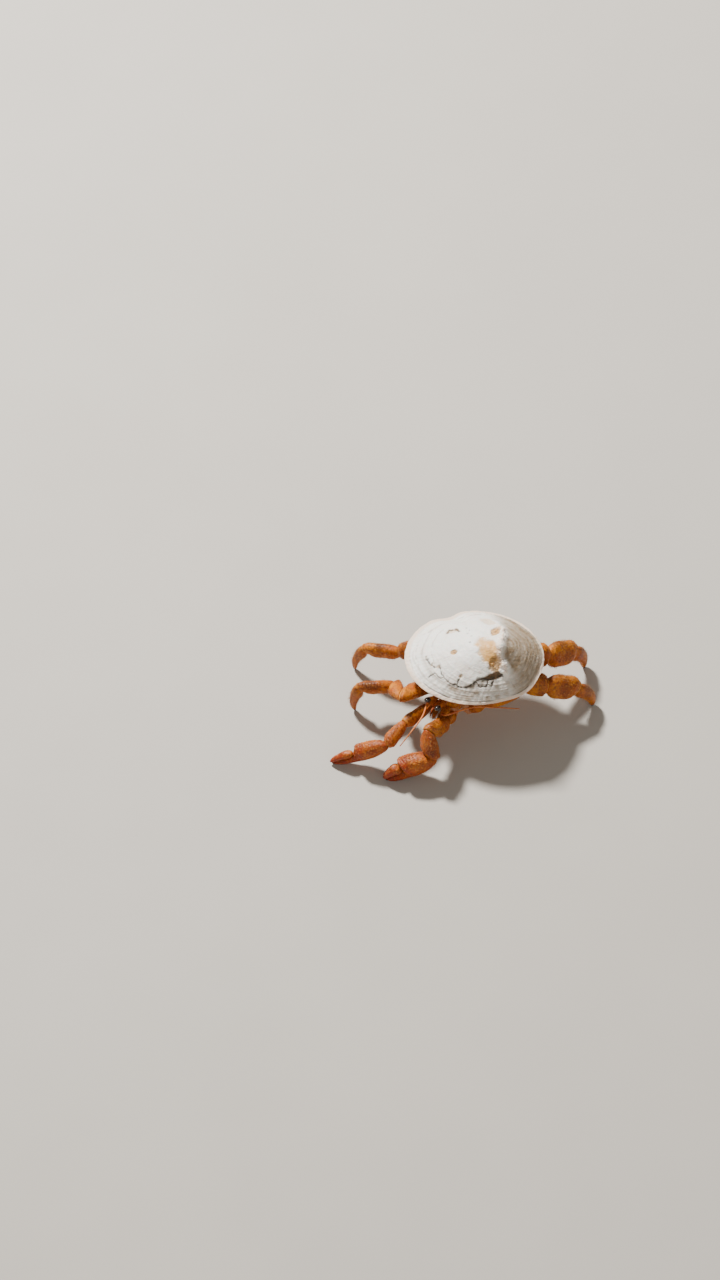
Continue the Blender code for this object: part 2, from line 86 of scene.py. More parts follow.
# Marks on the shell, in millimetres along and across it from its middle.
CREST = (
    (1.6, 8.0), (3.1, 4.9), (4.6, 2.3), (4.7, 0.6),
    (4.1, -2.0), (3.7, -4.1), (5.0, -5.6), (4.6, -6.6),
)
CREST_HEIGHT = 0.55
CREST_DROP = 0.4
BREAK = (
    (-5.3, -7.0), (-4.4, -7.6), (-1.9, -8.2), (-0.4, -7.6), (0.5, -7.4), (2.3, -7.3), (4.6, -6.7),
)
BREAK_DROP = 0.16
BREAK_WIDTH = 0.16
BAND_SWEEP = (math.radians(285), 0.75)  # where the band colour is also painted round the rim, and how far
FLANK_SHADE_EDGE = ((0.6, 10.8), *CREST, (3.4, -8.2), (1.5, -10.6))  # right of it the flank is painted darker: partly the shell's own colour, partly painted shade
FLANK_SHADE_SPAN = (0.1, 1.5)
FLANK_SHADE_FADE = 3.2  # how much softer that edge grows towards the rim
CRACKS = (
    BREAK,
    ((-0.4, -7.6), (0.1, -8.1), (0.9, -8.3), (1.6, -8.2), (2.0, -7.4)),
    ((1.6, -8.2), (2.6, -7.9), (3.0, -7.2)),
    ((-6.4, -5.4), (-5.9, -6.3), (-5.3, -7.0)),
    ((-3.0, -6.7), (-3.3, -7.2), (-3.8, -7.8)),
    ((-8.2, -3.5), (-7.6, -4.1), (-7.0, -4.0), (-6.6, -4.8), (-6.4, -5.4)),
    ((-9.4, -1.4), (-9.0, -2.3), (-8.2, -3.5)),
    ((-8.6, -5.4), (-7.6, -5.2), (-6.9, -6.0), (-5.9, -6.3)),
)
CRACK_WIDTH = 0.125
CRACK_DEPTH = 0.13
CRESCENT = ((-5.5, 2.1), (-5.1, 3.0), (-4.3, 3.3), (-3.5, 2.8), (-2.9, 1.7))
SPECKS = ((-1.9, 3.0), (-1.3, 2.2), (-1.7, 1.2), (-1.0, 0.3), (-1.2, -1.1))
SPECK_SIZE = 0.15
PORES = (120, 30)  # columns and rows of fine pores
PORE_DEPTH = 0.05
# Worn hollows: place, half sizes, turn in degrees, depth, and how strongly each colour shows.
HOLLOWS = (
    ((2.0, -3.2), (3.0, 1.9), -62, 0.2, {"stain": 1.0}),
    ((3.5, 1.6), (1.7, 0.8), 66, 0.4, {"stain": 0.8, "brown": 0.6}),
    ((4.0, 1.9), (0.8, 0.45), 66, 0.2, {"brown": 0.7}),
    ((2.2, 4.9), (1.8, 1.0), 130, 0.12, {"stain": 0.45}),
    ((3.3, -5.4), (1.25, 1.0), 20, 0.34, {"stain": 0.7, "brown": 0.55}),
    ((3.6, -5.6), (0.75, 0.5), 20, 0.1, {"brown": 0.6}),
    ((2.8, -6.95), (2.0, 0.42), 14, 0.28, {"olive": 1.0}),
    ((-4.3, -2.3), (0.6, 0.5), 0, 0.22, {"stain": 0.8, "brown": 0.85}),
    ((-3.0, -6.6), (0.4, 0.3), 0, 0.16, {"brown": 0.5}),
    ((-8.2, -3.4), (0.5, 0.3), 60, 0.14, {"brown": 0.5}),
    ((-7.0, -4.2), (0.35, 0.3), 0, 0.14, {"brown": 0.5}),
    ((-4.3, 2.7), (0.8, 0.5), 10, 0.12, {"stain": 0.35}),
    ((-9.3, -1.6), (0.35, 0.25), 70, 0.10, {"brown": 0.4}),
    ((-8.4, 4.6), (0.6, 0.25), 40, 0.08, {"olive": 0.35}),
    ((-2.6, 8.0), (0.7, 0.25), 8, 0.08, {"olive": 0.35}),
    ((0.6, 8.5), (0.8, 0.22), -4, 0.08, {"olive": 0.3}),
)
# Where growth paused: share of the way to the rim, and height of the step.
GROWTH_STOPS = (
    (0.3, 0.03), (0.46, 0.04), (0.6, 0.05), (0.71, 0.05), (0.8, 0.07), (0.87, 0.07), (0.935, 0.09),
)
RIM_SCARS = ((214, 246, 0.945), (262, 286, 0.952), (300, 322, 0.93))  # from, to, share

# ---- trunk, belly and head
TRUNK_TURN = math.radians(-10)
TRUNK_PIVOT = Vector((0, -2.8, 0))
BROW = (0, -9.0, 9.8)
NECK = (0, -1.4, 10.1)
WAIST = (0, 4.4, 10.5)
KEEL_FRONT = (0, -7.8, 6.0)
KEEL_BACK = (0, 1.8, 6.0)
TRUNK_SQUARENESS = 2.3
TRUNK_END_SIZES = (0.6, 0.6)  # how far the ends of a trunk piece are rounded
# Sections: share of the length, half width, half height, lift of the centre.
SHIELD_SECTIONS = (
    (0, 1.5, 1.3, 0.1), (0.06, 2.2, 1.9, 0.1), (0.25, 2.9, 2.6, 0.15), (0.55, 3.4, 2.9, 0.15),
    (0.85, 3.6, 3.0, 0.1), (0.96, 3.4, 2.8, 0), (1, 3.0, 2.4, 0),
)
REAR_SECTIONS = (
    (0, 3.0, 2.4, 0), (0.08, 3.4, 2.8, 0), (0.45, 3.6, 2.9, 0), (0.85, 3.0, 2.5, 0.1),
    (1, 2.4, 2.0, 0.1),
)
STERNUM_SECTIONS = ((0, 0.9, 0.35, 0), (0.1, 1.5, 0.6, 0), (0.6, 1.75, 0.65, 0), (1, 1.1, 0.35, 0))
BELLY_PATH = (
    (0, 4.7, 10.6), (0, 6.0, 10.9), (0.1, 7.1, 12.3), (0.4, 6.7, 14.1),
    (0.9, 5.0, 15.2), (1.6, 3.3, 15.6), (2.3, 1.8, 15.7), (2.9, 0.5, 15.7),
)
BELLY_RADII = (1.9, 2.3, 2.2, 1.95, 1.7, 1.4, 1.5, 0.9)
BELLY_SHARE = 4.6 / 7  # how much of that path the soft skin covers
TAIL_RADII = (1.15, 1.0, 0.95, 0.6)
TAIL_BLADES = ((0.75, 0.3), (0.6, -0.5))  # how far out and how far up each pair reaches
TAIL_BLADE_RADII = (0.22, 0.36, 0.3, 0.12)
# What the soft skin covers between the hips, and its sleeves.
CORE_FRONT = (0, -7.4, 7.4)
CORE_BACK = (0, 2.2, 7.9)
CORE_SECTIONS = ((0, 1.1, 1.0, 0), (0.15, 1.9, 1.5, 0), (0.6, 2.3, 1.8, 0.1), (1, 1.7, 1.4, 0.3))
CORE_HEIGHT = 7.1
SLEEVE_RADII = (1.5, 1.4, 1.12, 0.86)
SKIN_VOXEL = 0.15
SKIN_RELAX = 8  # rounds of smoothing
EYESTALK_ROOT = (0.8, -9.2, 10.6)
EYESTALK_TIP = (1.15, -11.1, 11.3)
EYESTALK_FLATNESS = 0.85
EYE_COLLAR = 0.42  # how far the stalk's collar stands round the eye
STALK_RADII = (0.42, 0.5, 0.42, 0.44, 0.56)
OCULAR_SCALE = ((0.1, 0.15, 0.28), (0.06, -0.35, 0.5), (-0.05, -0.85, 0.55))
ANTENNA_THORN = ((0.25, 0.25, 0.2), (0.42, -0.5, 0.42), (0.5, -1.3, 0.5))
JAW_PALP = ((0.28, 0.3, 0.05), (0.42, -0.55, -0.05), (0.35, -1.15, -0.6), (0.2, -1.3, -1.25))
THORN_TAPER = (1, 1.05, 0.6, 0.22)
EYE_SEAT = 0.78
EYE_RADII = (0.53, 0.53, 0.7)
EYE_ROWS = 40
EYE_SIDES = 56
ANTENNULE_PATH = ((0.38, -9.2, 9.6), (0.4, -10.6, 9.8), (0.42, -11.8, 10.9))
ANTENNULE_RADII = (0.25, 0.24, 0.19, 0.17)
# The lashes at the tip of an antennule: steps from its end, and radius.
ANTENNULE_LASHES = (
    (((0.0, 0.0, 0.0), (0.02, -0.35, 0.12), (0.05, -0.75, -0.1), (0.08, -0.95, -0.5)), 0.15),
    (((0.0, -0.02, 0.08), (0.06, -0.25, 0.25), (0.12, -0.5, 0.3), (0.16, -0.72, 0.2)), 0.09),
)
LASH_TAPER = (1, 1.1, 0.75, 0.3)
LASH_RINGS = 13
ANTENNA_BASE_PATH = ((1.6, -9.25, 9.0), (1.7, -10.2, 9.1), (1.8, -11.1, 9.4))
ANTENNA_BASE_RADII = (0.5, 0.58, 0.5, 0.42)
JAW_FOOT_PATH = ((0.6, -8.8, 7.3), (0.64, -10.2, 6.9), (0.6, -10.9, 5.4))
JAW_FOOT_RADII = (0.48, 0.54, 0.5, 0.34)
# Inner mouth parts: path, radii, and how hairy each is.
MOUTH_PARTS = (
    (
        ((0.98, -8.9, 8.0), (1.1, -9.7, 7.7), (0.98, -10.2, 6.9), (0.72, -10.35, 6.2)),
        (0.26, 0.3, 0.24, 0.12), 0.9,
    ),
    (((0.4, -8.9, 8.3), (0.42, -9.45, 8.0), (0.2, -9.75, 7.5)), (0.34, 0.4, 0.26, 0.12), 0.3),
)
ANTENNA_ROOT = (1.83, -11.34, 9.52)
ANTENNA_REACH = {
    "right": ((-2.1, -14.3, 10.1), (-2.1, -17.8, 9.5), (-2.7, -20.6, 7.6)),
    "left": ((1.6, -11.5, 10.5), (4.8, -7.9, 11.3), (8.3, -5.2, 10.9), (11.4, -2.4, 9.7)),
}
ANTENNA_RADII = (0.22, 0.09)
ANTENNA_RING = 0.19  # length of one of its rings
# The small legs inside the shell: path and radii.
GRIPPING_LEGS = {
    "leg4": (
        ((2.6, 0.5, 10.0), (3.75, 0.0, 10.8), (4.7, -0.2, 11.9), (5.1, 1.0, 13.2), (4.9, 2.1, 14.5)),
        (0.55, 0.55, 0.68, 0.76, 0.62, 0.34),
    ),
    "leg5": (
        ((1.9, 2.6, 11.2), (3.25, 3.3, 11.9), (3.5, 4.5, 12.8), (3.5, 5.4, 13.6), (3.3, 6.0, 14.4)),
        (0.4, 0.4, 0.46, 0.46, 0.4, 0.26),
    ),
}

# ---- limbs
LEG_PARTS = ("base", "merus", "carpus", "propodus", "dactyl")
LEG_STOUTNESS = (0, 0.22, 0.6, 1, 0.65)
SECOND_LEG = (2.8, 7.8, 4.8, 6.4, 7.4)
THIRD_LEG = (2.8, 7.9, 4.8, 6.8, 7.6)
SECTIONS = {
    "base": ((0, 0.7, 0.75, 0), (0.25, 1.0, 1.05, 0), (0.75, 1.05, 1.1, 0), (1, 0.75, 0.8, 0)),
    "merus": (
        (0, 0.75, 0.8, 0), (0.12, 1.05, 1.25, 0), (0.35, 1.2, 1.6, 0.05),
        (0.7, 1.3, 1.75, 0.05), (0.92, 1.2, 1.5, 0), (1, 0.9, 1.05, 0),
    ),
    "carpus": (
        (0, 0.8, 0.95, 0), (0.2, 1.0, 1.2, 0), (0.6, 1.2, 1.5, 0.08),
        (0.88, 1.15, 1.4, 0.05), (1, 0.8, 0.95, 0),
    ),
    "propodus": (
        (0, 0.75, 0.9, 0), (0.12, 0.95, 1.2, 0), (0.5, 1.0, 1.35, 0),
        (0.88, 0.9, 1.1, 0), (1, 0.62, 0.72, 0),
    ),
    "dactyl": (
        (0, 0.6, 0.7, 0), (0.12, 0.78, 0.95, 0.1), (0.4, 0.72, 0.85, 0.45),
        (0.7, 0.52, 0.6, 0.5), (0.92, 0.3, 0.32, 0.18), (1, 0.12, 0.12, 0),
    ),
    "arm": (
        (0, 0.8, 0.9, 0), (0.12, 1.15, 1.35, 0), (0.55, 1.35, 1.7, 0.05),
        (0.9, 1.35, 1.65, 0), (1, 1.0, 1.15, 0),
    ),
    "wrist": (
        (0, 1.0, 1.15, 0), (0.18, 1.3, 1.5, 0), (0.6, 1.6, 1.85, 0.1),
        (0.9, 1.5, 1.7, 0), (1, 1.0, 1.15, 0),
    ),
    "palm": (
        (0, 1.0, 1.15, 0), (0.06, 1.4, 1.7, 0.1), (0.18, 1.8, 2.2, 0.25),
        (0.36, 2.0, 2.5, 0.35), (0.5, 1.8, 2.25, 0.2), (0.56, 1.4, 1.45, -0.55),
        (0.64, 1.1, 1.0, -0.9), (0.8, 0.85, 0.8, -0.75), (0.93, 0.56, 0.52, -0.3),
        (1, 0.2, 0.2, 0),
    ),
    "finger": (
        (0, 0.7, 0.62, 0), (0.14, 1.0, 1.0, 0.25), (0.45, 0.9, 0.92, 0.5),
        (0.75, 0.66, 0.66, 0.35), (0.93, 0.42, 0.4, 0.1), (1, 0.16, 0.16, 0),
    ),
}
FINGER_HINGE = (0.595, 1.24)
FINGER_POINT = (1.01, 0.86)
FINGER_DEPTH = 0.9
# Legs: hip, foot, lengths, slopes of base, propodus and dactyl, lean, roll, width, depth.
LEGS = {
    "leg2_right": ((-3.1, -5.0, 5.9), (-16.9, -14.6), SECOND_LEG, (30, -2, -84), 55, 10, 1.1, 1.1),
    "leg3_right": ((-3.7, -0.8, 5.9), (-22.2, -7.0), THIRD_LEG, (10, -12, -76), 0, 0, 1.1, 1.1),
    "leg2_left": ((3.1, -5.0, 5.9), (18.8, 11.7), SECOND_LEG, (24, -24, -64), -30, -30, 1.35, 1.7),
    "leg3_left": ((3.7, -0.8, 5.9), (12.9, 18.0), THIRD_LEG, (30, -28, -70), -24, -35, 1.35, 1.75),
}
# Claw limbs: hip, shoulder, wrist, tip, elbow's way, lengths of arm and wrist, width, depth.
CLAWS = {
    "claw_right": (
        (-1.75, -8.0, 6.2), (-2.4, -10.0, 6.6), (-5.4, -21.0, 6.4), (-13.5, -26.7, 0.2),
        (-0.4, 0.1, 0.9), (6.6, 5.2), 0.76, 0.7,
    ),
    "claw_left": (
        (1.75, -8.0, 6.2), (2.2, -10.2, 6.6), (2.4, -18.0, 5.6), (-3.3, -24.0, 0.26),
        (-0.35, 0.1, 0.9), (6.4, 4.6), 1.0, 1.0,
    ),
}
CLAW_PARTS = ("base", "arm", "wrist", "palm")
CLAW_TIPS = ("palm", "finger")
POINTED = ("dactyl", *CLAW_TIPS)
Finish = namedtuple("Finish", (
    "squareness",  # across the piece: 2 is an ellipse
    "narrowing",  # of its top edge
    "grain_spacing",
    "grain_height",
    "ridge_height",
    "band",  # place of its dark band along it
    "hairy",
    "crest_spines",
    "top_spines",
))
FINISHES = {
    "base": Finish(2.2, 0.0, 0.42, 0.03, 0.0, 0.7, 0.15, 0.0, 0.0),
    "merus": Finish(2.3, 0.2, 0.40, 0.045, 0.10, 0.8, 0.55, 0.5, 0.0),
    "carpus": Finish(2.35, 0.16, 0.40, 0.055, 0.10, 0.75, 0.7, 0.9, 0.05),
    "propodus": Finish(2.4, 0.16, 0.38, 0.05, 0.09, 0.5, 1.0, 0.7, 0.03),
    "dactyl": Finish(2.3, 0.12, 0.36, 0.035, 0.07, 0.3, 0.9, 0.0, 0.0),
    "arm": Finish(2.35, 0.2, 0.42, 0.055, 0.10, 0.7, 0.6, 0.8, 0.05),
    "wrist": Finish(2.4, 0.1, 0.46, 0.075, 0.12, 0.7, 0.8, 1.0, 0.22),
    "palm": Finish(2.35, 0.06, 0.48, 0.085, 0.10, 0.7, 0.9, 1.0, 0.26),
    "finger": Finish(2.3, 0.1, 0.42, 0.065, 0.08, 0.7, 0.7, 0.9, 0.12),
}
# The teeth of a claw: the side they stand on in degrees, where they start, and how many.
TEETH = {"palm": (90, 0.6, 9), "finger": (270, 0.2, 8)}
DACTYL_GROOVES = (40, 140, 215, 325)  # degrees round the piece
# Ranks of spines along a piece: how full each is, then its place and spread in degrees.
SPINE_RANKS = ((1, (90, 9)), (0.5, (62, 6)), (0.5, (118, 6)))
FACET = 0.115  # size of a limb's mesh faces
STRIA_SPACING = 0.62  # between the low ridges across a limb
STRIA_HEIGHT = 0.04
HEAD_BRISTLES = 4  # how much closer bristles stand on the head
SPINE_STOUTNESS = 0.42  # radius of a spine for its length
SPINE_COUNT = 9.0  # for each square millimetre where spines are fullest
SPINE_SPACING = 0.24
PATCH = 0.003  # how much of the bristles' map one bristle takes
MAP_MARGIN = 0.03  # left free at the edges of that map

# The rounded near end, and the far end as a socket or a tip: share of the end ring, and how far
# it stands beyond the end of the piece, in half heights.
NEAR_END = ((0.94, 0.05), (0.82, 0.16), (0.62, 0.27), (0.36, 0.35), (0.12, 0.38))
FAR_END = ((0.96, 0.0), (0.88, -0.05), (0.82, -0.2), (0.7, -0.42), (0.45, -0.5), (0.15, -0.52))
TIP_END = ((0.7, 0.0), (0.35, 0.0))
END_TURNS = (30, 60, 82)  # degrees of the rings that round off a bent piece

JOINT_SKIN_SIDES = 28
# Rings of the fold at a joint: on which piece, share of its end's size, and how far beyond it.
JOINT_SKIN_RINGS = ((0, 0.78, -0.3), (0, 0.8, -0.1), (0, 0.74, 0.06), (1, 0.8, 0.0), (1, 0.7, 0.2))

# ---- fixed colours and finishes
WEATHERED_GREY = (0.55, 0.50, 0.42)
CRACK_DIRT = (0.055, 0.034, 0.016)
BRIGHT_RED = (0.34, 0.022, 0.001)
EYE_RIM = (0.10, 0.045, 0.018)
EYE_GLOW = (0.05, 0.03, 0.02)
FEELER_LIGHT = (0.64, 0.20, 0.03)
FEELER_RING = (0.20, 0.045, 0.012)
CLAW_REDNESS = 0.34
LENS_SIZE = 0.05

# ---- the view
VIEW_AIM = Vector((-25.3, -1.0, 0.0))
VIEW_AZIMUTH = math.radians(35)
VIEW_ELEVATION = math.radians(55)
# Lights: the way to each, then its distance and width in metres, and its share of the power.
LIGHTS = {"key": ((-0.60, 0.20, 0.777), 0.7, 0.09, 1.0), "fill": ((0.7, -0.5, 0.6), 0.8, 0.7, 0.09)}
SURROUND = (1.0, 0.97, 0.93)
FLOOR_REACH = 1.5  # metres, as is the drop
FLOOR_DROP = 0.00002


# ======== settings a user would change
def colour_setting(name, description, default):
    """A colour that a user may change."""
    return bpy.props.FloatVectorProperty(
        name=name, description=description, default=default, min=0.0, max=1.0, subtype="COLOR"
    )


def length_setting(name, description, default_mm):
    """A length that a user may change."""
    return bpy.props.FloatProperty(
        name=name, description=description, default=default_mm * MM,
        min=0.0, precision=6, unit="LENGTH", subtype="DISTANCE",
    )


class HERMIT_PG_shell(bpy.types.PropertyGroup):
    """Relief and colours of the shell."""

    growth_relief: length_setting("Growth relief", "Height of the fine growth lines", 0.035)
    riblet_relief: length_setting("Riblet relief", "Height of the faint rays", 0.014)
    bleached: colour_setting("Bleached", "Sun-bleached outer layer", (0.90, 0.855, 0.77))
    # Cream also colours the painted highlight along the crest.
    cream: colour_setting("Cream", "Warm patches and the growing edge", (0.80, 0.54, 0.36))
    # Band also darkens the flank right of the crest, partly as painted shade.
    band: colour_setting("Band", "Older layer below the break", (0.27, 0.185, 0.105))
    stain: colour_setting("Stain", "Tan inner layer that shows in the worn hollow", (0.66, 0.35, 0.09))
    brown: colour_setting("Brown", "Deep pits", (0.17, 0.075, 0.025))
    olive: colour_setting("Olive", "Algae in the broken ledge", (0.075, 0.05, 0.014))
    lining: colour_setting("Lining", "Smooth inside", (0.82, 0.66, 0.52))


class HERMIT_PG_crust(bpy.types.PropertyGroup):
    """Colours of the limbs and carapace."""

    light: colour_setting("Light", "Lit upper faces", (0.56, 0.175, 0.004))
    middle: colour_setting("Middle", "Main colour", (0.36, 0.072, 0.0015))
    dark: colour_setting("Dark", "Bands, ridges and upper edges", (0.085, 0.018, 0.003))
    red: colour_setting("Red", "Fingers and their tips", (0.20, 0.004, 0.0005))
    pale: colour_setting("Pale", "Joint collars and granules", (0.70, 0.29, 0.045))
    horn: colour_setting("Horn", "Tips of the feet and teeth", (0.035, 0.016, 0.009))


class HERMIT_PG_soft(bpy.types.PropertyGroup):
    """Colours of the soft skin and the eyes."""

    skin: colour_setting("Skin", "Soft belly and rear carapace", (0.50, 0.21, 0.08))
    vein: colour_setting("Vein", "Darker mottling under the skin", (0.27, 0.08, 0.028))
    eye: colour_setting("Eye", "Cornea", (0.012, 0.009, 0.008))
    feeler: colour_setting("Feeler", "Antennae and antennules", (0.46, 0.085, 0.010))


class HERMIT_PG_coat(bpy.types.PropertyGroup):
    """Size and colour of the bristles."""

    length: length_setting("Length", "Length of a full bristle", 0.75)
    thickness: length_setting("Thickness", "Radius at the root", 0.02)
    spine_length: length_setting("Spine length", "Length of a full spine", 0.24)
    count: bpy.props.FloatProperty(
        name="Count", description="Bristles for each square millimetre of the hairiest crust",
        default=14.0, min=0.0,
    )
    root: colour_setting("Root", "Colour at the root", (0.16, 0.055, 0.016))
    tip: colour_setting("Tip", "Colour at the tip", (0.62, 0.36, 0.14))


class HERMIT_PG_stage(bpy.types.PropertyGroup):
    """Floor, light and camera."""

    floor: colour_setting("Floor", "Pale studio floor", (0.48, 0.44, 0.38))
    distance: bpy.props.FloatProperty(
        name="Distance", description="From the camera to the point it looks at",
        default=0.6, min=0.1, unit="LENGTH", subtype="DISTANCE",
    )
    lens: bpy.props.FloatProperty(
        name="Lens", description="Focal length", default=88.9, min=10.0, unit="CAMERA"
    )
    key_power: bpy.props.FloatProperty(
        name="Key light", description="Power of the main light", default=13.0, min=0.0, unit="POWER"
    )
    world_strength: bpy.props.FloatProperty(
        name="Surround", description="Strength of the soft light from all round",
        default=0.3, min=0.0,
    )


class HERMIT_PG_look(bpy.types.PropertyGroup):
    """All the settings of the crab."""

    shell: bpy.props.PointerProperty(type=HERMIT_PG_shell, name="Shell")
    crust: bpy.props.PointerProperty(type=HERMIT_PG_crust, name="Crust")
    soft: bpy.props.PointerProperty(type=HERMIT_PG_soft, name="Soft parts")
    coat: bpy.props.PointerProperty(type=HERMIT_PG_coat, name="Bristles")
    stage: bpy.props.PointerProperty(type=HERMIT_PG_stage, name="Stage")


# ======== repeatable noise
def cell_numbers(cells, seed):
    """A fixed number from 0 to 1 for each whole-numbered cell."""
    mixed = np.full(cells.shape[:-1], (seed * 2654435761 + 97) % 2**32, np.uint32)
    for axis in range(cells.shape[-1]):
        step = (cells[..., axis].astype(np.int64) * 374761393 + axis * 668265263) % 2**32
        mixed = (mixed ^ step.astype(np.uint32)) * np.uint32(2246822519)
        mixed = (mixed ^ (mixed >> np.uint32(15))) * np.uint32(3266489917)
        mixed = mixed ^ (mixed >> np.uint32(13))
    return mixed / float(2**32)


def smooth_noise(points, size, seed=0):
    """Soft noise from -1 to 1 whose lumps are about size across."""
    places = np.asarray(points, float) / size
    base = np.floor(places)
    part = places - base
    part = part * part * part * (part * (part * 6 - 15) + 10)
    count = places.shape[-1]
    total = np.zeros(places.shape[:-1])
    for corner in range(2**count):
        offset = np.array([(corner >> axis) & 1 for axis in range(count)])
        weight = np.prod(np.where(offset, part, 1 - part), axis=-1)
        total += weight * cell_numbers(base + offset, seed)
    return total * 2 - 1


def rough_noise(points, size, seed=0, octaves=3):
    """Noise with finer and fainter lumps added on top."""
    return sum(
        smooth_noise(points, size / 2**octave, seed + octave) / 2**octave
        for octave in range(octaves)
    )


def granules(around, along, columns, rows, seed, radius=0.46):
    """Rounded grains in the cells of a grid wrapped round a piece, 0 to 1 high."""
    places = np.stack([around * columns, along * rows], axis=-1)
    base = np.floor(places)
    height = np.zeros(around.shape)
    for column in (-1, 0, 1):
        for row in (-1, 0, 1):
            cell = base + (column, row)
            wrapped = np.stack([np.mod(cell[..., 0], columns), cell[..., 1]], axis=-1)
            shift = [cell_numbers(wrapped, seed + n) for n in (1, 2, 3)]
            centre = cell + 0.5 + 0.85 * (np.stack(shift[:2], axis=-1) - 0.5)
            size = radius * (0.45 + 0.75 * shift[2])
            reach = np.linalg.norm(places - centre, axis=-1) / size
            height = np.maximum(height, shift[2] ** 0.7 * np.clip(1 - reach**2, 0, 1) ** 1.5)
    return height


def ramp(value, low, high):
    """0 below low, 1 above high, smooth between."""
    share = np.clip((np.asarray(value, float) - low) / (high - low), 0, 1)
    return share * share * (3 - 2 * share)


def bell(off, width):
    """1 where off is 0, fading out over width."""
    return np.exp(-((off / width) ** 2))


def eased(knots, places):
    """Values on a smooth curve through knots: a place, then its values."""
    table = np.array(knots, float)
    at, values = table[:, 0], table[:, 1:]
    slopes = np.gradient(values, at, axis=0)
    low = np.clip(np.searchsorted(at, places, side="right") - 1, 0, len(at) - 2)
    width = (at[low + 1] - at[low])[:, None]
    t = ((places - at[low]) / width[:, 0])[:, None]
    return (
        values[low] * (2 * t**3 - 3 * t**2 + 1)
        + slopes[low] * width * (t**3 - 2 * t**2 + t)
        + values[low + 1] * (3 * t**2 - 2 * t**3)
        + slopes[low + 1] * width * (t**3 - t**2)
    )


# ======== surfaces
class Surface:
    """A closed skin through rows of points, with painted values."""

    def __init__(self, rows, poles=None):
        self.rows = np.asarray(rows, float)
        self.poles = self.rows[[0, -1]].mean(axis=1) if poles is None else np.asarray(poles, float)
        self.paint = {}

    @property
    def shape(self):
        return self.rows.shape[:2]

    def normals(self):
        """Outward directions, from the rows' own slopes."""
        around = np.roll(self.rows, -1, 1) - np.roll(self.rows, 1, 1)
        along = np.gradient(self.rows, axis=0)
        out = np.cross(around, along)
        out /= np.maximum(np.linalg.norm(out, axis=-1, keepdims=True), 1e-12)
        middle = self.rows.mean(axis=1, keepdims=True)
        if ((self.rows - middle) * out).sum() < 0:
            out = -out
        return out

    def raise_by(self, height):
        """Moves every point out by height."""
        self.rows = self.rows + self.normals() * np.asarray(height)[..., None]

    def lay(self, share, way):
        """Notes how far along and round each point is, and the way bristles lie."""
        self.share = np.broadcast_to(np.asarray(share)[:, None], self.shape)
        self.around = np.broadcast_to(np.arange(self.shape[1]) / self.shape[1], self.shape)
        self.way = Vector(way)

    def put(self, **values):
        """Paints the surface with named values."""
        for name, value in values.items():
            self.paint[name] = np.broadcast_to(np.asarray(value, float), self.shape).copy()

    def put_coat(self, hair, hair_size):
        """Paints where bristles grow, how long and which way."""
        self.put(
            hair=hair, hair_size=hair_size,
            root_u=self.around * (1 - 2 * MAP_MARGIN) + MAP_MARGIN,
            root_v=self.share * (1 - 2 * MAP_MARGIN) + MAP_MARGIN,
            lie_x=self.way.x, lie_y=self.way.y, lie_z=self.way.z,
        )

    def mesh_data(self):
        """Points, faces and painted values, with the two poles last."""
        count_rows, count_sides = self.shape
        points = np.concatenate([self.rows.reshape(-1, 3), self.poles])
        near = np.arange(count_rows - 1)[:, None] * count_sides
        side = np.arange(count_sides)
        after = (side + 1) % count_sides
        quads = np.stack(
            [near + side, near + after, near + count_sides + after, near + count_sides + side], -1
        ).reshape(-1, 4)
        first, last = count_rows * count_sides, count_rows * count_sides + 1
        end = (count_rows - 1) * count_sides
        caps = np.concatenate([
            np.stack([np.full_like(side, first), after, side], -1),
            np.stack([np.full_like(side, last), end + side, end + after], -1),
        ])
        faces = quads.tolist() + caps.tolist()
        paint = {
            name: np.concatenate([value.ravel(), [value[0].mean()], [value[-1].mean()]])
            for name, value in self.paint.items()
        }
        return points, faces, paint


def row_points(points):
    """Millimetres in the crab's frame to metres in that of the solids."""
    return (np.asarray(points, float) - np.array(STANCE_CENTRE)) * MM


def face_outwards(mesh, weld=0.0):
    """Joins points closer than weld, and turns every face outwards."""
    shape = bmesh.new()
    shape.from_mesh(mesh)
    if weld:
        bmesh.ops.remove_doubles(shape, verts=shape.verts, dist=weld)
    bmesh.ops.recalc_face_normals(shape, faces=shape.faces)
    shape.to_mesh(mesh)
    shape.free()


def mesh_from(name, surfaces):
    """One mesh from several closed surfaces, facing outwards."""
    points, faces, paint, start = [], [], {}, 0
    names = sorted({key for surface in surfaces for key in surface.paint})
    for surface in surfaces:
        places, loops, values = surface.mesh_data()
        points.append(places)
        faces += [[start + corner for corner in loop] for loop in loops]
        for key in names:
            paint.setdefault(key, []).append(values.get(key, np.zeros(len(places))))
        start += len(places)
    mesh = bpy.data.meshes.new(name)
    mesh.from_pydata(row_points(np.concatenate(points)).tolist(), [], faces)
    face_outwards(mesh)
    for key in names:
        attribute = mesh.attributes.new(key, "FLOAT", "POINT")
        attribute.data.foreach_set("value", np.concatenate(paint[key]).astype(np.float32))
    mesh.shade_smooth()
    return mesh


def squared(angle, squareness):
    """How far across and how far up a squarish ring lies at each angle."""
    return [
        np.sign(way) * np.abs(way) ** (2 / squareness) for way in (np.cos(angle), np.sin(angle))
    ]


def circle(sides):
    """Angles round a ring."""
    return np.arange(sides) / sides * 2 * math.pi


def linked(name, data):
    """A new object in the scene."""
    made = bpy.data.objects.new(name, data)
    bpy.context.scene.collection.objects.link(made)
    return made


def evaluated_mesh(holder):
    """The plain mesh that an object's modifiers make, without the object."""
    bpy.context.view_layer.update()
    evaluated = holder.evaluated_get(bpy.context.evaluated_depsgraph_get())
    mesh = bpy.data.meshes.new_from_object(evaluated)
    bpy.data.objects.remove(holder)
    return mesh


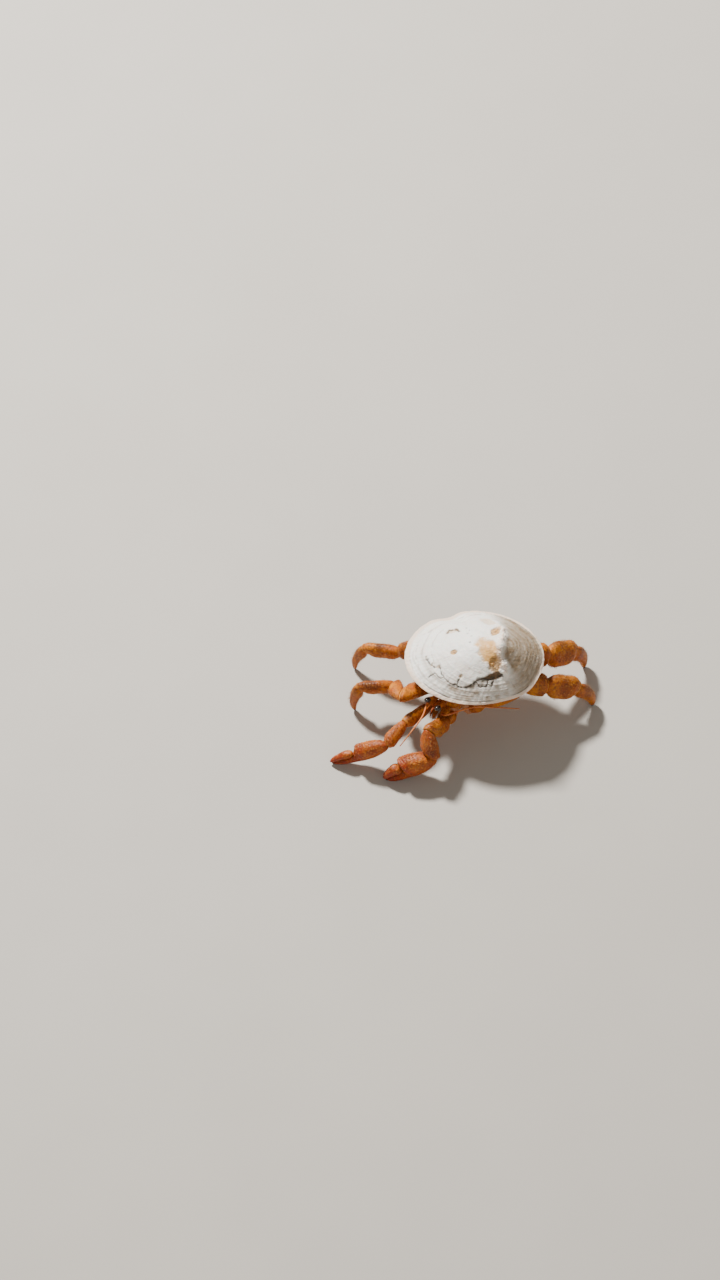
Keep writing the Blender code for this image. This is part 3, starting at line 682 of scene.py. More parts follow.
def add_piece(name, mesh, finish, slot, *nodes):
    """Puts a mesh in the scene as a piece that stands for the named solids."""
    piece = linked(name, mesh)
    mesh.materials.clear()
    mesh.materials.append(material_of(finish))
    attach(piece, "root")
    if nodes:
        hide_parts(*nodes)


def add_surfaces(name, surfaces, finish, slot, *nodes):
    """Puts closed surfaces in the scene as one piece."""
    add_piece(name, mesh_from(name, surfaces), finish, slot, *nodes)


# ======== node trees
class Tree:
    """Adds nodes to a tree, and links or sets their inputs."""

    def __init__(self, tree):
        self.tree = tree

    def add(self, kind, inputs=None, **settings):
        node = self.tree.nodes.new(kind)
        for name, value in settings.items():
            setattr(node, name, value)
        for name, value in (inputs or {}).items():
            self.feed(self.socket(node.inputs, name), value)
        return node

    @staticmethod
    def socket(sockets, name):
        if isinstance(name, int):
            return sockets[name]
        return next(s for s in sockets if s.name == name and s.enabled)

    def feed(self, socket, value):
        if isinstance(value, bpy.types.Node):
            value = next(s for s in value.outputs if s.enabled)
        if isinstance(value, bpy.types.NodeSocket):
            self.tree.links.new(value, socket)
        elif hasattr(value, "__len__") and len(value) == 3 and len(socket.default_value) == 4:
            socket.default_value = (*value, 1.0)
        else:
            socket.default_value = value

    def maths(self, operation, *values):
        return self.add("ShaderNodeMath", dict(enumerate(values)), operation=operation)

    def times(self, first, second):
        return self.maths("MULTIPLY", first, second)

    def plus(self, first, second):
        return self.maths("ADD", first, second)

    def mix(self, factor, first, second, most=None):
        """From first to second, or only as far towards it as most says."""
        factor = factor if most is None else self.times(factor, most)
        node = self.add("ShaderNodeMix", {0: factor}, data_type="RGBA")
        self.feed(node.inputs[6], first)
        self.feed(node.inputs[7], second)
        return node.outputs[2]

    def layers(self, base, *coats):
        """Colours laid over a base: where each shows, its colour, and at most how strongly."""
        for where, colour, *most in coats:
            where = self.painted(where) if isinstance(where, str) else where
            base = self.mix(where, base, colour, *most)
        return base

    def vector(self, operation, first, second):
        """The sum of two vectors, or a vector scaled by a number."""
        other = "Scale" if operation == "SCALE" else 1
        return self.add("ShaderNodeVectorMath", {0: first, other: second}, operation=operation)

    def named(self, name):
        """A painted value, in a geometry tree."""
        return self.add("GeometryNodeInputNamedAttribute", {"Name": name}, data_type="FLOAT")

    def store(self, geometry, name, value, data_type="FLOAT", domain="POINT"):
        """Geometry, painted with one more value."""
        inputs = {"Geometry": geometry, "Name": name, "Value": value}
        kind = "GeometryNodeStoreNamedAttribute"
        return self.add(kind, inputs, data_type=data_type, domain=domain)

    def end_group(self, geometry, material):
        """Gives geometry its material and hands it out of the group."""
        done = self.add("GeometryNodeSetMaterial", {"Geometry": geometry, "Material": material})
        self.add("NodeGroupOutput", {"Geometry": done})

    def painted(self, name):
        """A painted value, in a material."""
        return self.add("ShaderNodeAttribute", attribute_name=name).outputs["Fac"]

    def own_place(self):
        """The piece's own coordinates, in a material."""
        return self.add("ShaderNodeTexCoord").outputs["Object"]

    def noise(self, size_mm, detail=4.0, roughness=0.55, distortion=0.0):
        """Noise from 0 to 1 on the piece's coordinates, lumps size_mm across."""
        return self.add("ShaderNodeTexNoise", {
            "Vector": self.own_place(), "Scale": 1 / (size_mm * MM), "Detail": detail,
            "Roughness": roughness, "Distortion": distortion,
        }).outputs[0]

    def spread(self, value, low, high):
        """Stretches low..high to 0..1."""
        inputs = {"Value": value, "From Min": low, "From Max": high}
        return self.add("ShaderNodeMapRange", inputs, interpolation_type="SMOOTHSTEP").outputs[0]

    def patches(self, size_mm, detail, low, high, roughness=0.55, distortion=0.0):
        """Noise whose low..high becomes 0..1."""
        return self.spread(self.noise(size_mm, detail, roughness, distortion), low, high)

    def between(self, value, low, high):
        """Turns 0..1 into low..high."""
        return self.add("ShaderNodeMapRange", {"Value": value, "To Min": low, "To Max": high})


def new_material(name, colour_of, roughness_of, height_of, bump_mm, **plain):
    """A material from functions that give its colour, roughness and bump."""
    made = bpy.data.materials.new(name)
    made.use_nodes = True
    tree = Tree(made.node_tree)
    surface = made.node_tree.nodes["Principled BSDF"]
    tree.feed(surface.inputs["Base Color"], colour_of(tree))
    tree.feed(surface.inputs["Roughness"], roughness_of(tree))
    bump = {"Height": height_of(tree), "Distance": bump_mm * MM, "Strength": 1.0}
    tree.feed(surface.inputs["Normal"], tree.add("ShaderNodeBump", bump))
    for socket, value in plain.items():
        tree.feed(surface.inputs[socket.replace("_", " ")], value)
    return made


def shell_chalk(name, look):
    """Bleached shell: dark cracks, tan hollows, pearly inside, and a darker flank that is partly
    painted shade.
    """
    def colour(tree):
        mottle = tree.patches(0.55, 5, 0.36, 0.64, 0.6)
        specks = tree.times(tree.patches(0.22, 2, 0.70, 0.76, 0.5), tree.painted("worn"))
        return tree.layers(
            look.bleached,
            (tree.patches(3.2, 3, 0.46, 0.7), look.cream, 0.22),
            (tree.patches(1.1, 5, 0.52, 0.72, 0.62), WEATHERED_GREY, 0.16),
            # band: the older layer below the break, the band round the rim, and the darker flank,
            # partly painted shade
            ("band", look.band),
            ("line", tree.mix(0.45, look.band, look.brown)),
            ("stain", tree.mix(mottle, look.stain, look.cream, 0.22)),
            # rim: the growing edge's warm cream, also a painted highlight along the crest
            ("rim", tree.mix(0.35, look.cream, look.bleached)),
            ("brown", tree.mix(mottle, look.brown, look.stain)),
            ("olive", tree.mix(mottle, look.olive, look.brown)),
            (specks, look.brown, 0.5),
            ("crack", CRACK_DIRT),
            ("inside", tree.mix(tree.patches(2.6, 3, 0.35, 0.7), look.lining, look.bleached)),
        )

    def roughness(tree):
        outer = tree.maths("MULTIPLY_ADD", tree.patches(0.5, 4, 0.3, 0.7), 0.22, 0.46)
        return tree.maths("MULTIPLY_ADD", tree.painted("inside"), -0.26, outer)

    def height(tree):
        pores = tree.patches(0.16, 3, 0.3, 0.75, 0.6)
        return tree.plus(tree.times(pores, 0.35), tree.noise(0.5, 5, 0.6))

    return new_material(
        name, colour, roughness, height, 0.03,
        Subsurface_Weight=0.08, Subsurface_Scale=0.0008, Specular_IOR_Level=0.45,
    )


def crab_crust(name, look, redness):
    """Orange-brown crust, dark in bands and on ridges, red on the fingers."""
    def colour(tree):
        broad = tree.patches(2.4, 3, 0.32, 0.68)
        flecks = tree.patches(0.5, 5, 0.5, 0.62, 0.66)
        reds = tree.layers(look.red, (broad, BRIGHT_RED), (flecks, look.dark, 0.5))
        return tree.layers(
            look.middle,
            (broad, look.light),
            (tree.patches(1.0, 4, 0.5, 0.62, 0.6, distortion=0.6), look.middle, 0.5),
            (flecks, look.dark, 0.55),
            ("shade", look.dark),
            ("pale", look.pale, 0.6),
            (tree.maths("MAXIMUM", tree.painted("red"), redness), reds),
            (tree.patches(0.3, 2, 0.62, 0.68, 0.4), look.pale, 0.35),
            ("grain", look.pale, 0.55),
            ("horn", look.horn),
        )

    def roughness(tree):
        waxy = tree.maths("MULTIPLY_ADD", tree.patches(0.35, 4, 0.3, 0.7), 0.2, 0.4)
        return tree.maths("SUBTRACT", waxy, tree.times(tree.painted("horn"), 0.12))

    def height(tree):
        pits = tree.patches(0.1, 3, 0.35, 0.7)
        return tree.plus(tree.times(pits, 0.4), tree.noise(0.3, 4))

    return new_material(
        name, colour, roughness, height, 0.022,
        Subsurface_Weight=0.06, Subsurface_Scale=0.0005, Specular_IOR_Level=0.32,
    )


def soft_skin(name, look):
    """Thin skin with darker mottling, painted shade in its creases and a darker tone on the joint
    skins.
    """
    def colour(tree):
        veins = tree.patches(1.3, 5, 0.48, 0.68, 0.6, distortion=1.2)
        # fold: painted shade in the skin's creases, and an even darker tone on the joint skins
        return tree.layers(look.skin, (veins, look.vein, 0.7), ("fold", look.vein, 0.6))

    return new_material(
        name, colour,
        lambda tree: tree.between(tree.noise(0.6, 3), 0.3, 0.55),
        lambda tree: tree.plus(tree.noise(0.22, 4, 0.6), tree.noise(0.8, 2)), 0.05,
        Subsurface_Weight=0.3, Subsurface_Scale=0.001, Subsurface_Radius=(1.0, 0.45, 0.25),
    )


def eye_cornea(name, look):
    """Glossy black, with a brown rim and fine lenses."""
    def colour(tree):
        glow = tree.patches(0.4, 2, 0.5, 0.8)
        return tree.layers(look.eye, ("rim", EYE_RIM), (glow, EYE_GLOW, 0.25))

    def lenses(tree):
        grid = {"Vector": tree.own_place(), "Scale": 1 / (LENS_SIZE * MM)}
        return tree.times(tree.add("ShaderNodeTexVoronoi", grid).outputs["Distance"], -1.0)

    return new_material(
        name, colour, lambda tree: tree.between(tree.noise(0.3, 2), 0.06, 0.14),
        lenses, 0.006, Coat_Weight=0.6, Coat_Roughness=0.04,
    )


def feeler_rings(name, look):
    """Orange feelers with darker rings."""
    def colour(tree):
        light = tree.patches(1.2, 3, 0.35, 0.65)
        return tree.layers(look.feeler, (light, FEELER_LIGHT), ("ring", FEELER_RING))

    return new_material(
        name, colour, lambda tree: tree.between(tree.noise(0.25, 3), 0.35, 0.6),
        lambda tree: tree.noise(0.12, 3), 0.01, Subsurface_Weight=0.1, Subsurface_Scale=0.0005,
    )


def bristle_horn(name, look):
    """Bristles: dark at the root, paler towards the tip."""
    def colour(tree):
        return tree.layers(look.root, ("rise", look.tip), (tree.noise(0.7, 2), look.root, 0.4))

    return new_material(
        name, colour, lambda tree: tree.between(tree.painted("rise"), 0.42, 0.6),
        lambda tree: tree.noise(0.08, 2), 0.004,
    )


def spine_tip(name, look):
    """Spines: the crust's colour at the root, horn at the tip."""
    def colour(tree):
        tip = tree.spread(tree.painted("rise"), 0.35, 0.85)
        broad = tree.patches(2.4, 3, 0.32, 0.68)
        return tree.layers(look.middle, (broad, look.light), (tip, look.horn))

    return new_material(
        name, colour, lambda tree: tree.between(tree.painted("rise"), 0.45, 0.28),
        lambda tree: tree.noise(0.08, 2), 0.006,
    )


def studio_floor(name, look):
    """Pale matt floor with faint broad shading."""
    worn = [shade * 0.97 for shade in look.floor]
    return new_material(
        name, lambda tree: tree.mix(tree.patches(40, 2, 0.3, 0.7), look.floor, worn),
        lambda tree: tree.between(tree.noise(10, 2), 0.75, 0.85),
        lambda tree: tree.noise(0.6, 2), 0.01,
    )


# Each material: its function, its group of settings, and any more values.
MATERIALS = {
    "shell_chalk": (shell_chalk, "shell"),
    "limb_crust": (crab_crust, "crust", 0.0),
    "claw_crust": (crab_crust, "crust", CLAW_REDNESS),
    "soft_skin": (soft_skin, "soft"),
    "eye_cornea": (eye_cornea, "soft"),
    "feeler_rings": (feeler_rings, "soft"),
    "bristle_horn": (bristle_horn, "coat"),
    "spine_tip": (spine_tip, "crust"),
    "studio_floor": (studio_floor, "stage"),
}


def material_of(name):
    """The named material, made the first time it is asked for."""
    maker, settings, *more = MATERIALS[name]
    look = getattr(bpy.context.scene.hermit_crab, settings)
    return bpy.data.materials.get(name) or maker(name, look, *more)


# ======== how the crab stands
def trunk_way(direction):
    """A direction given for an unturned trunk, turned with it."""
    return Matrix.Rotation(TRUNK_TURN, 3, "Z") @ Vector(direction)


def on_trunk(point):
    """A place given for an unturned trunk, turned with it."""
    return TRUNK_PIVOT + trunk_way(Vector(point) - TRUNK_PIVOT)


def handed(points, hand):
    """Points given for the left side, moved to a hand: 1 left, -1 right."""
    return [Vector((x * hand, y, z)) for x, y, z in points]


def trunk_path(points, hand=1):
    """Places on the trunk, for the side that hand says."""
    return [on_trunk(point) for point in handed(points, hand)]


def elbow(start, end, first, second, pole):
    """The joint between two links of known length, bent towards pole."""
    reach = (end - start).length
    along = (first**2 - second**2 + reach**2) / (2 * reach)
    out = math.sqrt(first**2 - along**2)
    direction = (end - start) / reach
    pole = Vector(pole)
    outward = (pole - direction * pole.dot(direction)).normalized()
    return start + direction * along + outward * out


def leaned(forward, degrees):
    """Upwards, leaned forward by some degrees."""
    angle = math.radians(degrees)
    return UP * math.cos(angle) + forward * math.sin(angle)


def joint_plane(before, joint, after, ahead):
    """The plane that halves the bend at a joint, half a gap away from it."""
    normal = ((joint - before).normalized() + (after - joint).normalized()).normalized()
    return joint + normal * (GAP / 2 if ahead else -GAP / 2), normal


def end_planes(joints, place):
    """The planes that cut off the piece between one joint and the next."""
    start, end = joints[place], joints[place + 1]
    along = (end - start).normalized()
    near, far = (start, along), (end, along)
    if place:
        near = joint_plane(joints[place - 1], start, end, True)
    if place + 2 < len(joints):
        far = joint_plane(start, end, joints[place + 2], False)
    return near, far


class Segment:
    """Where a limb piece lies, its end planes and its stoutness."""

    def __init__(self, limb, part, start, end, side, planes, width, depth):
        self.limb, self.part = limb, part
        self.start, self.end, self.planes = start, end, planes
        self.width, self.depth = width, depth
        self.along = (end - start).normalized()
        self.side = (side - self.along * side.dot(self.along)).normalized()
        self.rise = self.side.cross(self.along)
        if self.rise.z < 0:
            self.rise = -self.rise
        self.length = (end - start).length

    @property
    def name(self):
        return f"{self.limb}_{self.part}"


def leg_segments(name):
    """The five pieces of a walking leg, from hip to floor."""
    hip, foot, lengths, slopes, lean, roll, width, depth = LEGS[name]
    start, foot = on_trunk(hip), Vector((*foot, 0.0))
    outward = Vector((foot.x - start.x, foot.y - start.y, 0)).normalized()
    forward = outward.cross(UP) * math.copysign(1, hip[0])

    def sloped(length, degrees):
        angle = math.radians(degrees)
        return length * (outward * math.cos(angle) + UP * math.sin(angle))

    base, merus, carpus, propodus, dactyl = lengths
    first = start + sloped(base, slopes[0])
    ankle = foot - sloped(dactyl, slopes[2])
    hand = ankle - sloped(propodus, slopes[1])
    knee = elbow(first, hand, merus, carpus, leaned(forward, lean))
    joints = [start, first, knee, hand, ankle, foot]
    arch = (knee - first).cross(hand - knee).normalized()
    rolled = leaned(forward, roll).cross(outward)
    segments = []
    for place, (part, side) in enumerate(zip(LEG_PARTS, (forward, arch, arch, rolled, rolled))):
        near, far = end_planes(joints, place)
        if part == "dactyl":
            far = (joints[-1], -UP)
        stout = [1 + (full - 1) * LEG_STOUTNESS[place] for full in (width, depth)]
        segments.append(
            Segment(name, part, joints[place], joints[place + 1], side, (near, far), *stout)
        )
    return segments


def claw_segments(name):
    """The five pieces of a claw limb. The last, its finger, is hinged on the palm."""
    hip, shoulder, wrist, tip, pole, lengths, width, depth = CLAWS[name]
    hip, shoulder, wrist, tip = on_trunk(hip), on_trunk(shoulder), Vector(wrist), Vector(tip)
    bend = elbow(shoulder, wrist, *lengths, pole)
    joints = [hip, shoulder, bend, wrist, tip]
    segments = []
    for place, part in enumerate(CLAW_PARTS):
        start, end = joints[place], joints[place + 1]
        across = (end - start).cross(UP)
        segments.append(
            Segment(name, part, start, end, across, end_planes(joints, place), width, depth)
        )
    palm = segments[-1]
    hinge, point = [
        wrist + palm.along * (share * palm.length) + palm.rise * (height * depth)
        for share, height in (FINGER_HINGE, FINGER_POINT)
    ]
    planes = ((hinge, palm.along), (point, palm.along))
    finger = Segment(name, "finger", hinge, point, palm.side, planes, width, depth * FINGER_DEPTH)
    return [*segments, finger]


def limb_chains():
    """The pieces of every leg and claw limb."""
    return [*map(leg_segments, LEGS), *map(claw_segments, CLAWS)]


# ======== limb pieces
def near_angle(around, degrees, spread):
    """1 at an angle round the piece, fading out over spread degrees."""
    return bell((around * 360 - degrees + 180) % 360 - 180, spread)


def end_rows(ring, shape, size, way):
    """Rings that close an end, from pairs of scale and distance beyond it."""
    middle = ring.mean(axis=0)
    return [middle + (ring - middle) * scale + way * (beyond * size) for scale, beyond in shape]


def segment_surface(segment):
    """The crust of one limb piece, with its sockets and relief."""
    finish = FINISHES[segment.part]
    shares = np.linspace(0, 1, max(18, round(segment.length / FACET)))
    half_width, half_height, lift = eased(SECTIONS[segment.part], shares).T
    half_width, half_height = half_width * segment.width, half_height * segment.depth
    girth = math.pi * (half_width.max() + half_height.max())
    angle = circle(max(28, round(girth / FACET / 2) * 2))
    across, upward = squared(angle, finish.squareness)
    middle = ramp(shares, 0.0, 0.2) * ramp(shares, 1.0, 0.85)
    across = across * (1 - finish.narrowing * middle[:, None] * np.sin(angle))
    side, rise, along = (np.array(v) for v in (segment.side, segment.rise, segment.along))
    flat = (
        np.array(segment.start)
        + rise * (lift * segment.depth)[:, None, None]
        + side * (half_width[:, None] * across)[..., None]
        + rise * (half_height[:, None] * upward)[..., None]
    )
    near, far = [
        ((np.array(point) - flat) @ np.array(way)) / (along @ np.array(way))
        for point, way in segment.planes
    ]
    body = flat + along * (near + (far - near) * shares[:, None])[..., None]

    far_shape = TIP_END if segment.part in POINTED else FAR_END
    near_rows = end_rows(body[0], NEAR_END, half_height[0], -along)[::-1]
    far_rows = end_rows(body[-1], far_shape, half_height[-1], along)
    poles = (
        body[0].mean(axis=0) - along * (NEAR_END[-1][1] * half_height[0]),
        body[-1].mean(axis=0) + along * (far_shape[-1][1] * half_height[-1]),
    )
    surface = Surface(np.concatenate([near_rows, body, far_rows]), poles)
    before, after = np.zeros(len(NEAR_END)), np.ones(len(far_shape))
    surface.lay(np.concatenate([before, shares, after]), segment.along)
    free = np.concatenate([before, np.ones(len(shares)), 0 * after])[:, None]
    add_relief(segment, surface, free)
    return surface


def striae_on(surface, length, seed):
    """Low broken ridges across the upper and lower faces, 0 to 1 high."""
    phase = surface.share * length / STRIA_SPACING + 0.35 * np.cos(surface.around * 4 * math.pi)
    phase = phase + 0.7 * smooth_noise(surface.rows, 1.1, seed + 8)
    broken = ramp(smooth_noise(surface.rows, 0.7, seed + 9), -0.2, 0.3)
    turned = np.sin(surface.around * 2 * math.pi)
    return (1 - (phase % 1)) ** 3 * broken * ramp(np.abs(turned), 0.95, 0.6)


def teeth_on(surface, part):
    """The biting edge of a claw's finger and its teeth, both from 0 to 1."""
    side, start, count = TEETH[part]
    share = surface.share
    edge = near_angle(surface.around, side, 24)
    edge = edge * (ramp(share, start, start + 0.08) * ramp(share, 0.99, 0.9))
    return edge, (0.5 + 0.5 * np.cos((share - start) / (1 - start) * 2 * math.pi * count)) ** 1.5


def add_relief(segment, surface, free):
    """Granules, ridge, striae and collar, teeth on claws and grooves on feet."""
    part, finish = segment.part, FINISHES[segment.part]
    share, around = surface.share, surface.around
    seed = sum(ord(letter) for letter in segment.name) * 7
    columns = max(6, round(surface.shape[1] * FACET / finish.grain_spacing))
    rows = max(4, round(segment.length / finish.grain_spacing))
    upper = 0.35 + 0.65 * ramp(np.sin(around * 2 * math.pi), -0.6, 0.5)
    grain = granules(around, share, columns, rows, seed) * upper
    fine = granules(around, share, columns * 2, rows * 2, seed + 31)
    ridge = near_angle(around, 90, 13) * ramp(share, 0.08, 0.3) * ramp(share, 1.0, 0.85)
    ridge = ridge * (0.55 + 0.45 * np.cos(share * 2 * math.pi * round(segment.length / 0.55)))
    striae = striae_on(surface, segment.length, seed)
    fade, collar = free * ramp(share, 0.0, 0.05), 0.0
    if part not in POINTED:
        fade = fade * ramp(share, 1.0, 0.93)
        collar = (0.06 * bell(share - 0.96, 0.025)
                  - 0.05 * ramp(share, 0.86, 0.9) * ramp(share, 0.95, 0.92))
    wobble = 0.035 * rough_noise(surface.rows, 1.6, seed + 5) * ramp(share, 0.0, 0.1)
    height = fade * (
        finish.grain_height * (grain + 0.3 * fine) + finish.ridge_height * ridge
        + STRIA_HEIGHT * striae * (0.5 if part in CLAW_TIPS else 1)
    ) + free * (wobble + collar)
    bite = np.zeros(surface.shape)
    if part in CLAW_TIPS:
        bite, teeth = teeth_on(surface, part)
        height = height + bite * (0.02 + 0.15 * teeth) * segment.depth
    if part == "dactyl":
        for degrees in DACTYL_GROOVES:
            groove = near_angle(around, degrees, 12)
            height = height - 0.05 * groove * ramp(share, 0.12, 0.3) * ramp(share, 0.9, 0.7)
    surface.raise_by(height)
    surface.rows[..., 2] = np.maximum(surface.rows[..., 2], 0.0)
    paint_segment(segment, surface, free, grain * fade, bite, striae)


def paint_segment(segment, surface, free, grain, bite, striae):
    """The colours of a limb piece, and where spines and bristles stand."""
    part, finish = segment.part, FINISHES[segment.part]
    share, around = surface.share, surface.around
    turned = np.sin(around * 2 * math.pi)
    patchy = rough_noise(surface.rows, 2.2, 11)
    top = near_angle(around, 90, 40) * ramp(patchy, -0.6, 0.5)
    band = bell(share - finish.band, 0.2) * ramp(patchy, -0.5, 0.6)
    under = ramp(turned, -0.35, -0.95)
    shade = np.clip(0.55 * top + 0.4 * band, 0, 0.85) * (1 - 0.6 * under)
    collar = 0 if part in POINTED else ramp(share, 0.93, 0.98)
    red = {
        "dactyl": 0.25 * ramp(share, 0.3, 0.8),
        "wrist": 0.3 * ramp(share, 0.2, 0.9),
        "palm": ramp(share + 0.1 * patchy, 0.1, 0.72),
        "finger": ramp(share + 0.08 * patchy, -0.2, 0.5),
    }.get(part, 0.0)
    horn = {"dactyl": ramp(share, 0.9, 0.95)}.get(part, 0.0)
    if part in CLAW_TIPS:
        horn = np.maximum(ramp(share, 0.955, 0.99), 0.25 * bite)
    surface.put(
        shade=np.clip(shade + 0.25 * striae * free, 0, 0.9),
        pale=np.clip(0.8 * collar + 0.35 * under + 0.3 * (1 - free), 0, 1),
        red=red * (0.85 + 0.15 * patchy), horn=horn, grain=grain * ramp(grain, 0.3, 0.9),
    )
    edges = np.maximum(near_angle(around, 90, 30), 0.6 * near_angle(around, 270, 35))
    bare_tip = ramp(share, 0.9, 0.98) if part in POINTED else 0
    hair = free * finish.hairy * (0.12 + 0.88 * edges) * ramp(share, 0.03, 0.1) * (1 - bare_tip)
    short = 0.45 if part in (*CLAW_TIPS, "base") else 1.0
    surface.put_coat(hair, short * (1 - 0.55 * ramp(share, 0.5, 1.0)))
    crest = sum(near_angle(around, *rank) * size for size, rank in SPINE_RANKS)
    face = ramp(share, 0.1, 0.2) * ramp(share, 0.93, 0.85) * (1 - np.clip(3 * bite, 0, 1))
    spines = finish.crest_spines * crest + finish.top_spines * ramp(turned, 0.0, 0.5)
    surface.put(
        spines=np.clip(spines, 0, 1) * face,
        spine_size=(0.45 + 0.6 * np.clip(crest, 0, 1)) * (0.75 if part in LEG_PARTS else 1.0),
    )


def joint_skin_surface(near, far):
    """The soft fold that closes the joint between two limb pieces."""
    rings = []
    for segment_number, scale, beyond in JOINT_SKIN_RINGS:
        segment, end = ((near, -1), (far, 0))[segment_number]
        share, half_width, half_height, lift = SECTIONS[segment.part][end]
        spot, way = segment.planes[end]
        side, rise = [(v - way * v.dot(way)).normalized() for v in (segment.side, segment.rise)]
        side, rise = side * (half_width * segment.width), rise * (half_height * segment.depth)
        rings.append([
            spot + (side * math.cos(turn) + rise * math.sin(turn)) * scale + way * beyond
            for turn in circle(JOINT_SKIN_SIDES)
        ])
    surface = Surface(rings)
    surface.put(fold=0.6)
    return surface


# ======== bent pieces
def spline(points, steps):
    """Points on a smooth curve through the given ones."""
    points = [Vector(p) for p in points]
    padded = [2 * points[0] - points[1], *points, 2 * points[-1] - points[-2]]
    path = []
    for a, b, c, d in zip(padded, padded[1:], padded[2:], padded[3:]):
        for step in range(steps):
            t = step / steps
            path.append(
                0.5 * (2 * b + (c - a) * t + (2 * a - 5 * b + 4 * c - d) * t**2
                       + (3 * b - a - 3 * c + d) * t**3)
            )
    path.append(points[-1])
    return path


def rounded(rings, ways, sizes):
    """The rings, with more at each end that round it off."""
    ends = []
    for ring, way, size in zip((rings[0], rings[-1]), ways, sizes):
        shape = [(math.cos(turn), 0.35 * math.sin(turn)) for turn in np.radians(END_TURNS)]
        ends.append(end_rows(ring, shape, size, np.array(way)))
    return [*ends[0][::-1], *rings, *ends[1]]


def with_ends(shares):
    """Shares along a piece, with those of its rounded ends."""
    return np.pad(shares, len(END_TURNS), constant_values=(0, 1))


def bent_surface(points, radii, flat=1.0, sides=32, steps=14, waists=(), tip_scale=1.0):
    """A tapering piece along a smooth path, drawn in at its waists."""
    path = spline(points, steps)
    side = Vector((1, 0, 0))
    share = np.linspace(0, 1, len(path))
    radius = np.interp(share, np.linspace(0, 1, len(radii)), radii)
    for place in waists:
        drawn = 0.22 * bell(share - place, 0.018) - 0.07 * bell(share - place + 0.05, 0.03)
        radius = radius * (1 - drawn)
    rings, ways = [], []
    for place, centre in enumerate(path):
        ahead = path[min(place + 1, len(path) - 1)] - path[max(place - 1, 0)]
        along = ahead.normalized()
        side = (side - along * side.dot(along)).normalized()
        across = np.outer(np.cos(circle(sides)) * radius[place] * flat, side)
        up = np.outer(np.sin(circle(sides)) * radius[place], along.cross(side))
        rings.append(np.array(centre) + across + up)
        ways.append(along)
    sizes = (radii[0], radii[-1] * tip_scale)
    surface = Surface(rounded(rings, (-ways[0], ways[-1]), sizes))
    surface.lay(with_ends(share), ways[len(ways) // 2])
    return surface


def trunk_bend(points, hand, radii, **shape):
    """A bent piece given by places on the trunk's left side."""
    return bent_surface(trunk_path(points, hand), radii, **shape)


def paint_crust(surface, red=0.0, horn=0.0, hair=0.0, hair_size=0.5, pale=0.0, seed=3):
    """Paint for a small bent piece of crust."""
    patchy = rough_noise(surface.rows, 1.2, seed)
    surface.put(shade=0.35 * ramp(patchy, 0.0, 0.8), pale=pale, red=red, horn=horn)
    surface.put_coat(hair, hair_size)


def roughen(surface, height, spacing, seed):
    """Raises fine grains on a bent piece."""
    columns = max(6, round(surface.shape[1] * 0.1 / spacing))
    length = np.linalg.norm(np.diff(surface.rows.mean(axis=1), axis=0), axis=1).sum()
    rows = max(3, round(length / spacing))
    grain = granules(surface.around, surface.share, columns, rows, seed)
    surface.raise_by(height * grain * ramp(surface.share, 0, 0.05) * ramp(surface.share, 1, 0.95))


# ======== the shell
def bump_at(angle, centre, spread, height=1.0):
    """A hump at one angle, fading out over spread."""
    return height * bell((angle - centre + math.pi) % (2 * math.pi) - math.pi, spread)


def compass(angle):
    """The way that each angle points."""
    return np.stack([np.cos(angle), np.sin(angle)], -1)


def shell_spot(share, angle):
    """Where a point of the bare shell lies: its place, and its height."""
    grow = 1 + bump_at(angle, *SHELL_CHIP) + bump_at(angle, *SHELL_CORNER)
    rim = compass(angle) * (SHELL_HALF_LENGTH, SHELL_HALF_WIDTH) * grow[..., None]
    apex = np.array(SHELL_APEX)
    place = apex + (rim - apex) * share[..., None] + (SHELL_SLIDE, 0)
    lip_share, lip_height = SHELL_LIP
    rounder, more = SHELL_SWELL_LEAN
    swell = SHELL_SWELL + more * np.cos(angle - rounder)
    dome = lip_height + (SHELL_RISE - lip_height) * (1 - np.minimum(share / lip_share, 1) ** swell)
    flare = lip_height * (1 - share) / (1 - lip_share)
    blend = ramp(share, lip_share - 0.02, lip_share + 0.02)
    return place, np.maximum(dome * (1 - blend) + flare * blend, 0)


def bare_shell(share, angle):
    """The bare shell as a surface, where the crab wears it."""
    place, rise = shell_spot(share, angle)
    height = (SHELL_RIM_HEIGHT + rise)[..., None]
    return Surface(np.concatenate([place @ SHELL_SPIN.T, height], axis=-1))


def from_line(places, line, steps=4):
    """Distance from each place to a smooth line, its side, and how far along."""
    knots = [np.array(knot[:2]) for knot in spline([(*spot, 0) for spot in line], steps)]
    nearest = np.full(places.shape[:-1], 1e9)
    side, reach = np.zeros((2, *places.shape[:-1]))
    for number, (start, end) in enumerate(zip(knots, knots[1:])):
        way = end - start
        share = np.clip(((places - start) @ way) / (way @ way), 0, 1)
        off = places - start - share[..., None] * way
        distance = np.linalg.norm(off, axis=-1)
        cross = way[0] * off[..., 1] - way[1] * off[..., 0]
        closer = distance < nearest
        nearest = np.where(closer, distance, nearest)
        side = np.where(closer, np.sign(cross), side)
        reach = np.where(closer, (number + share) / (len(knots) - 1), reach)
    return nearest, side, reach


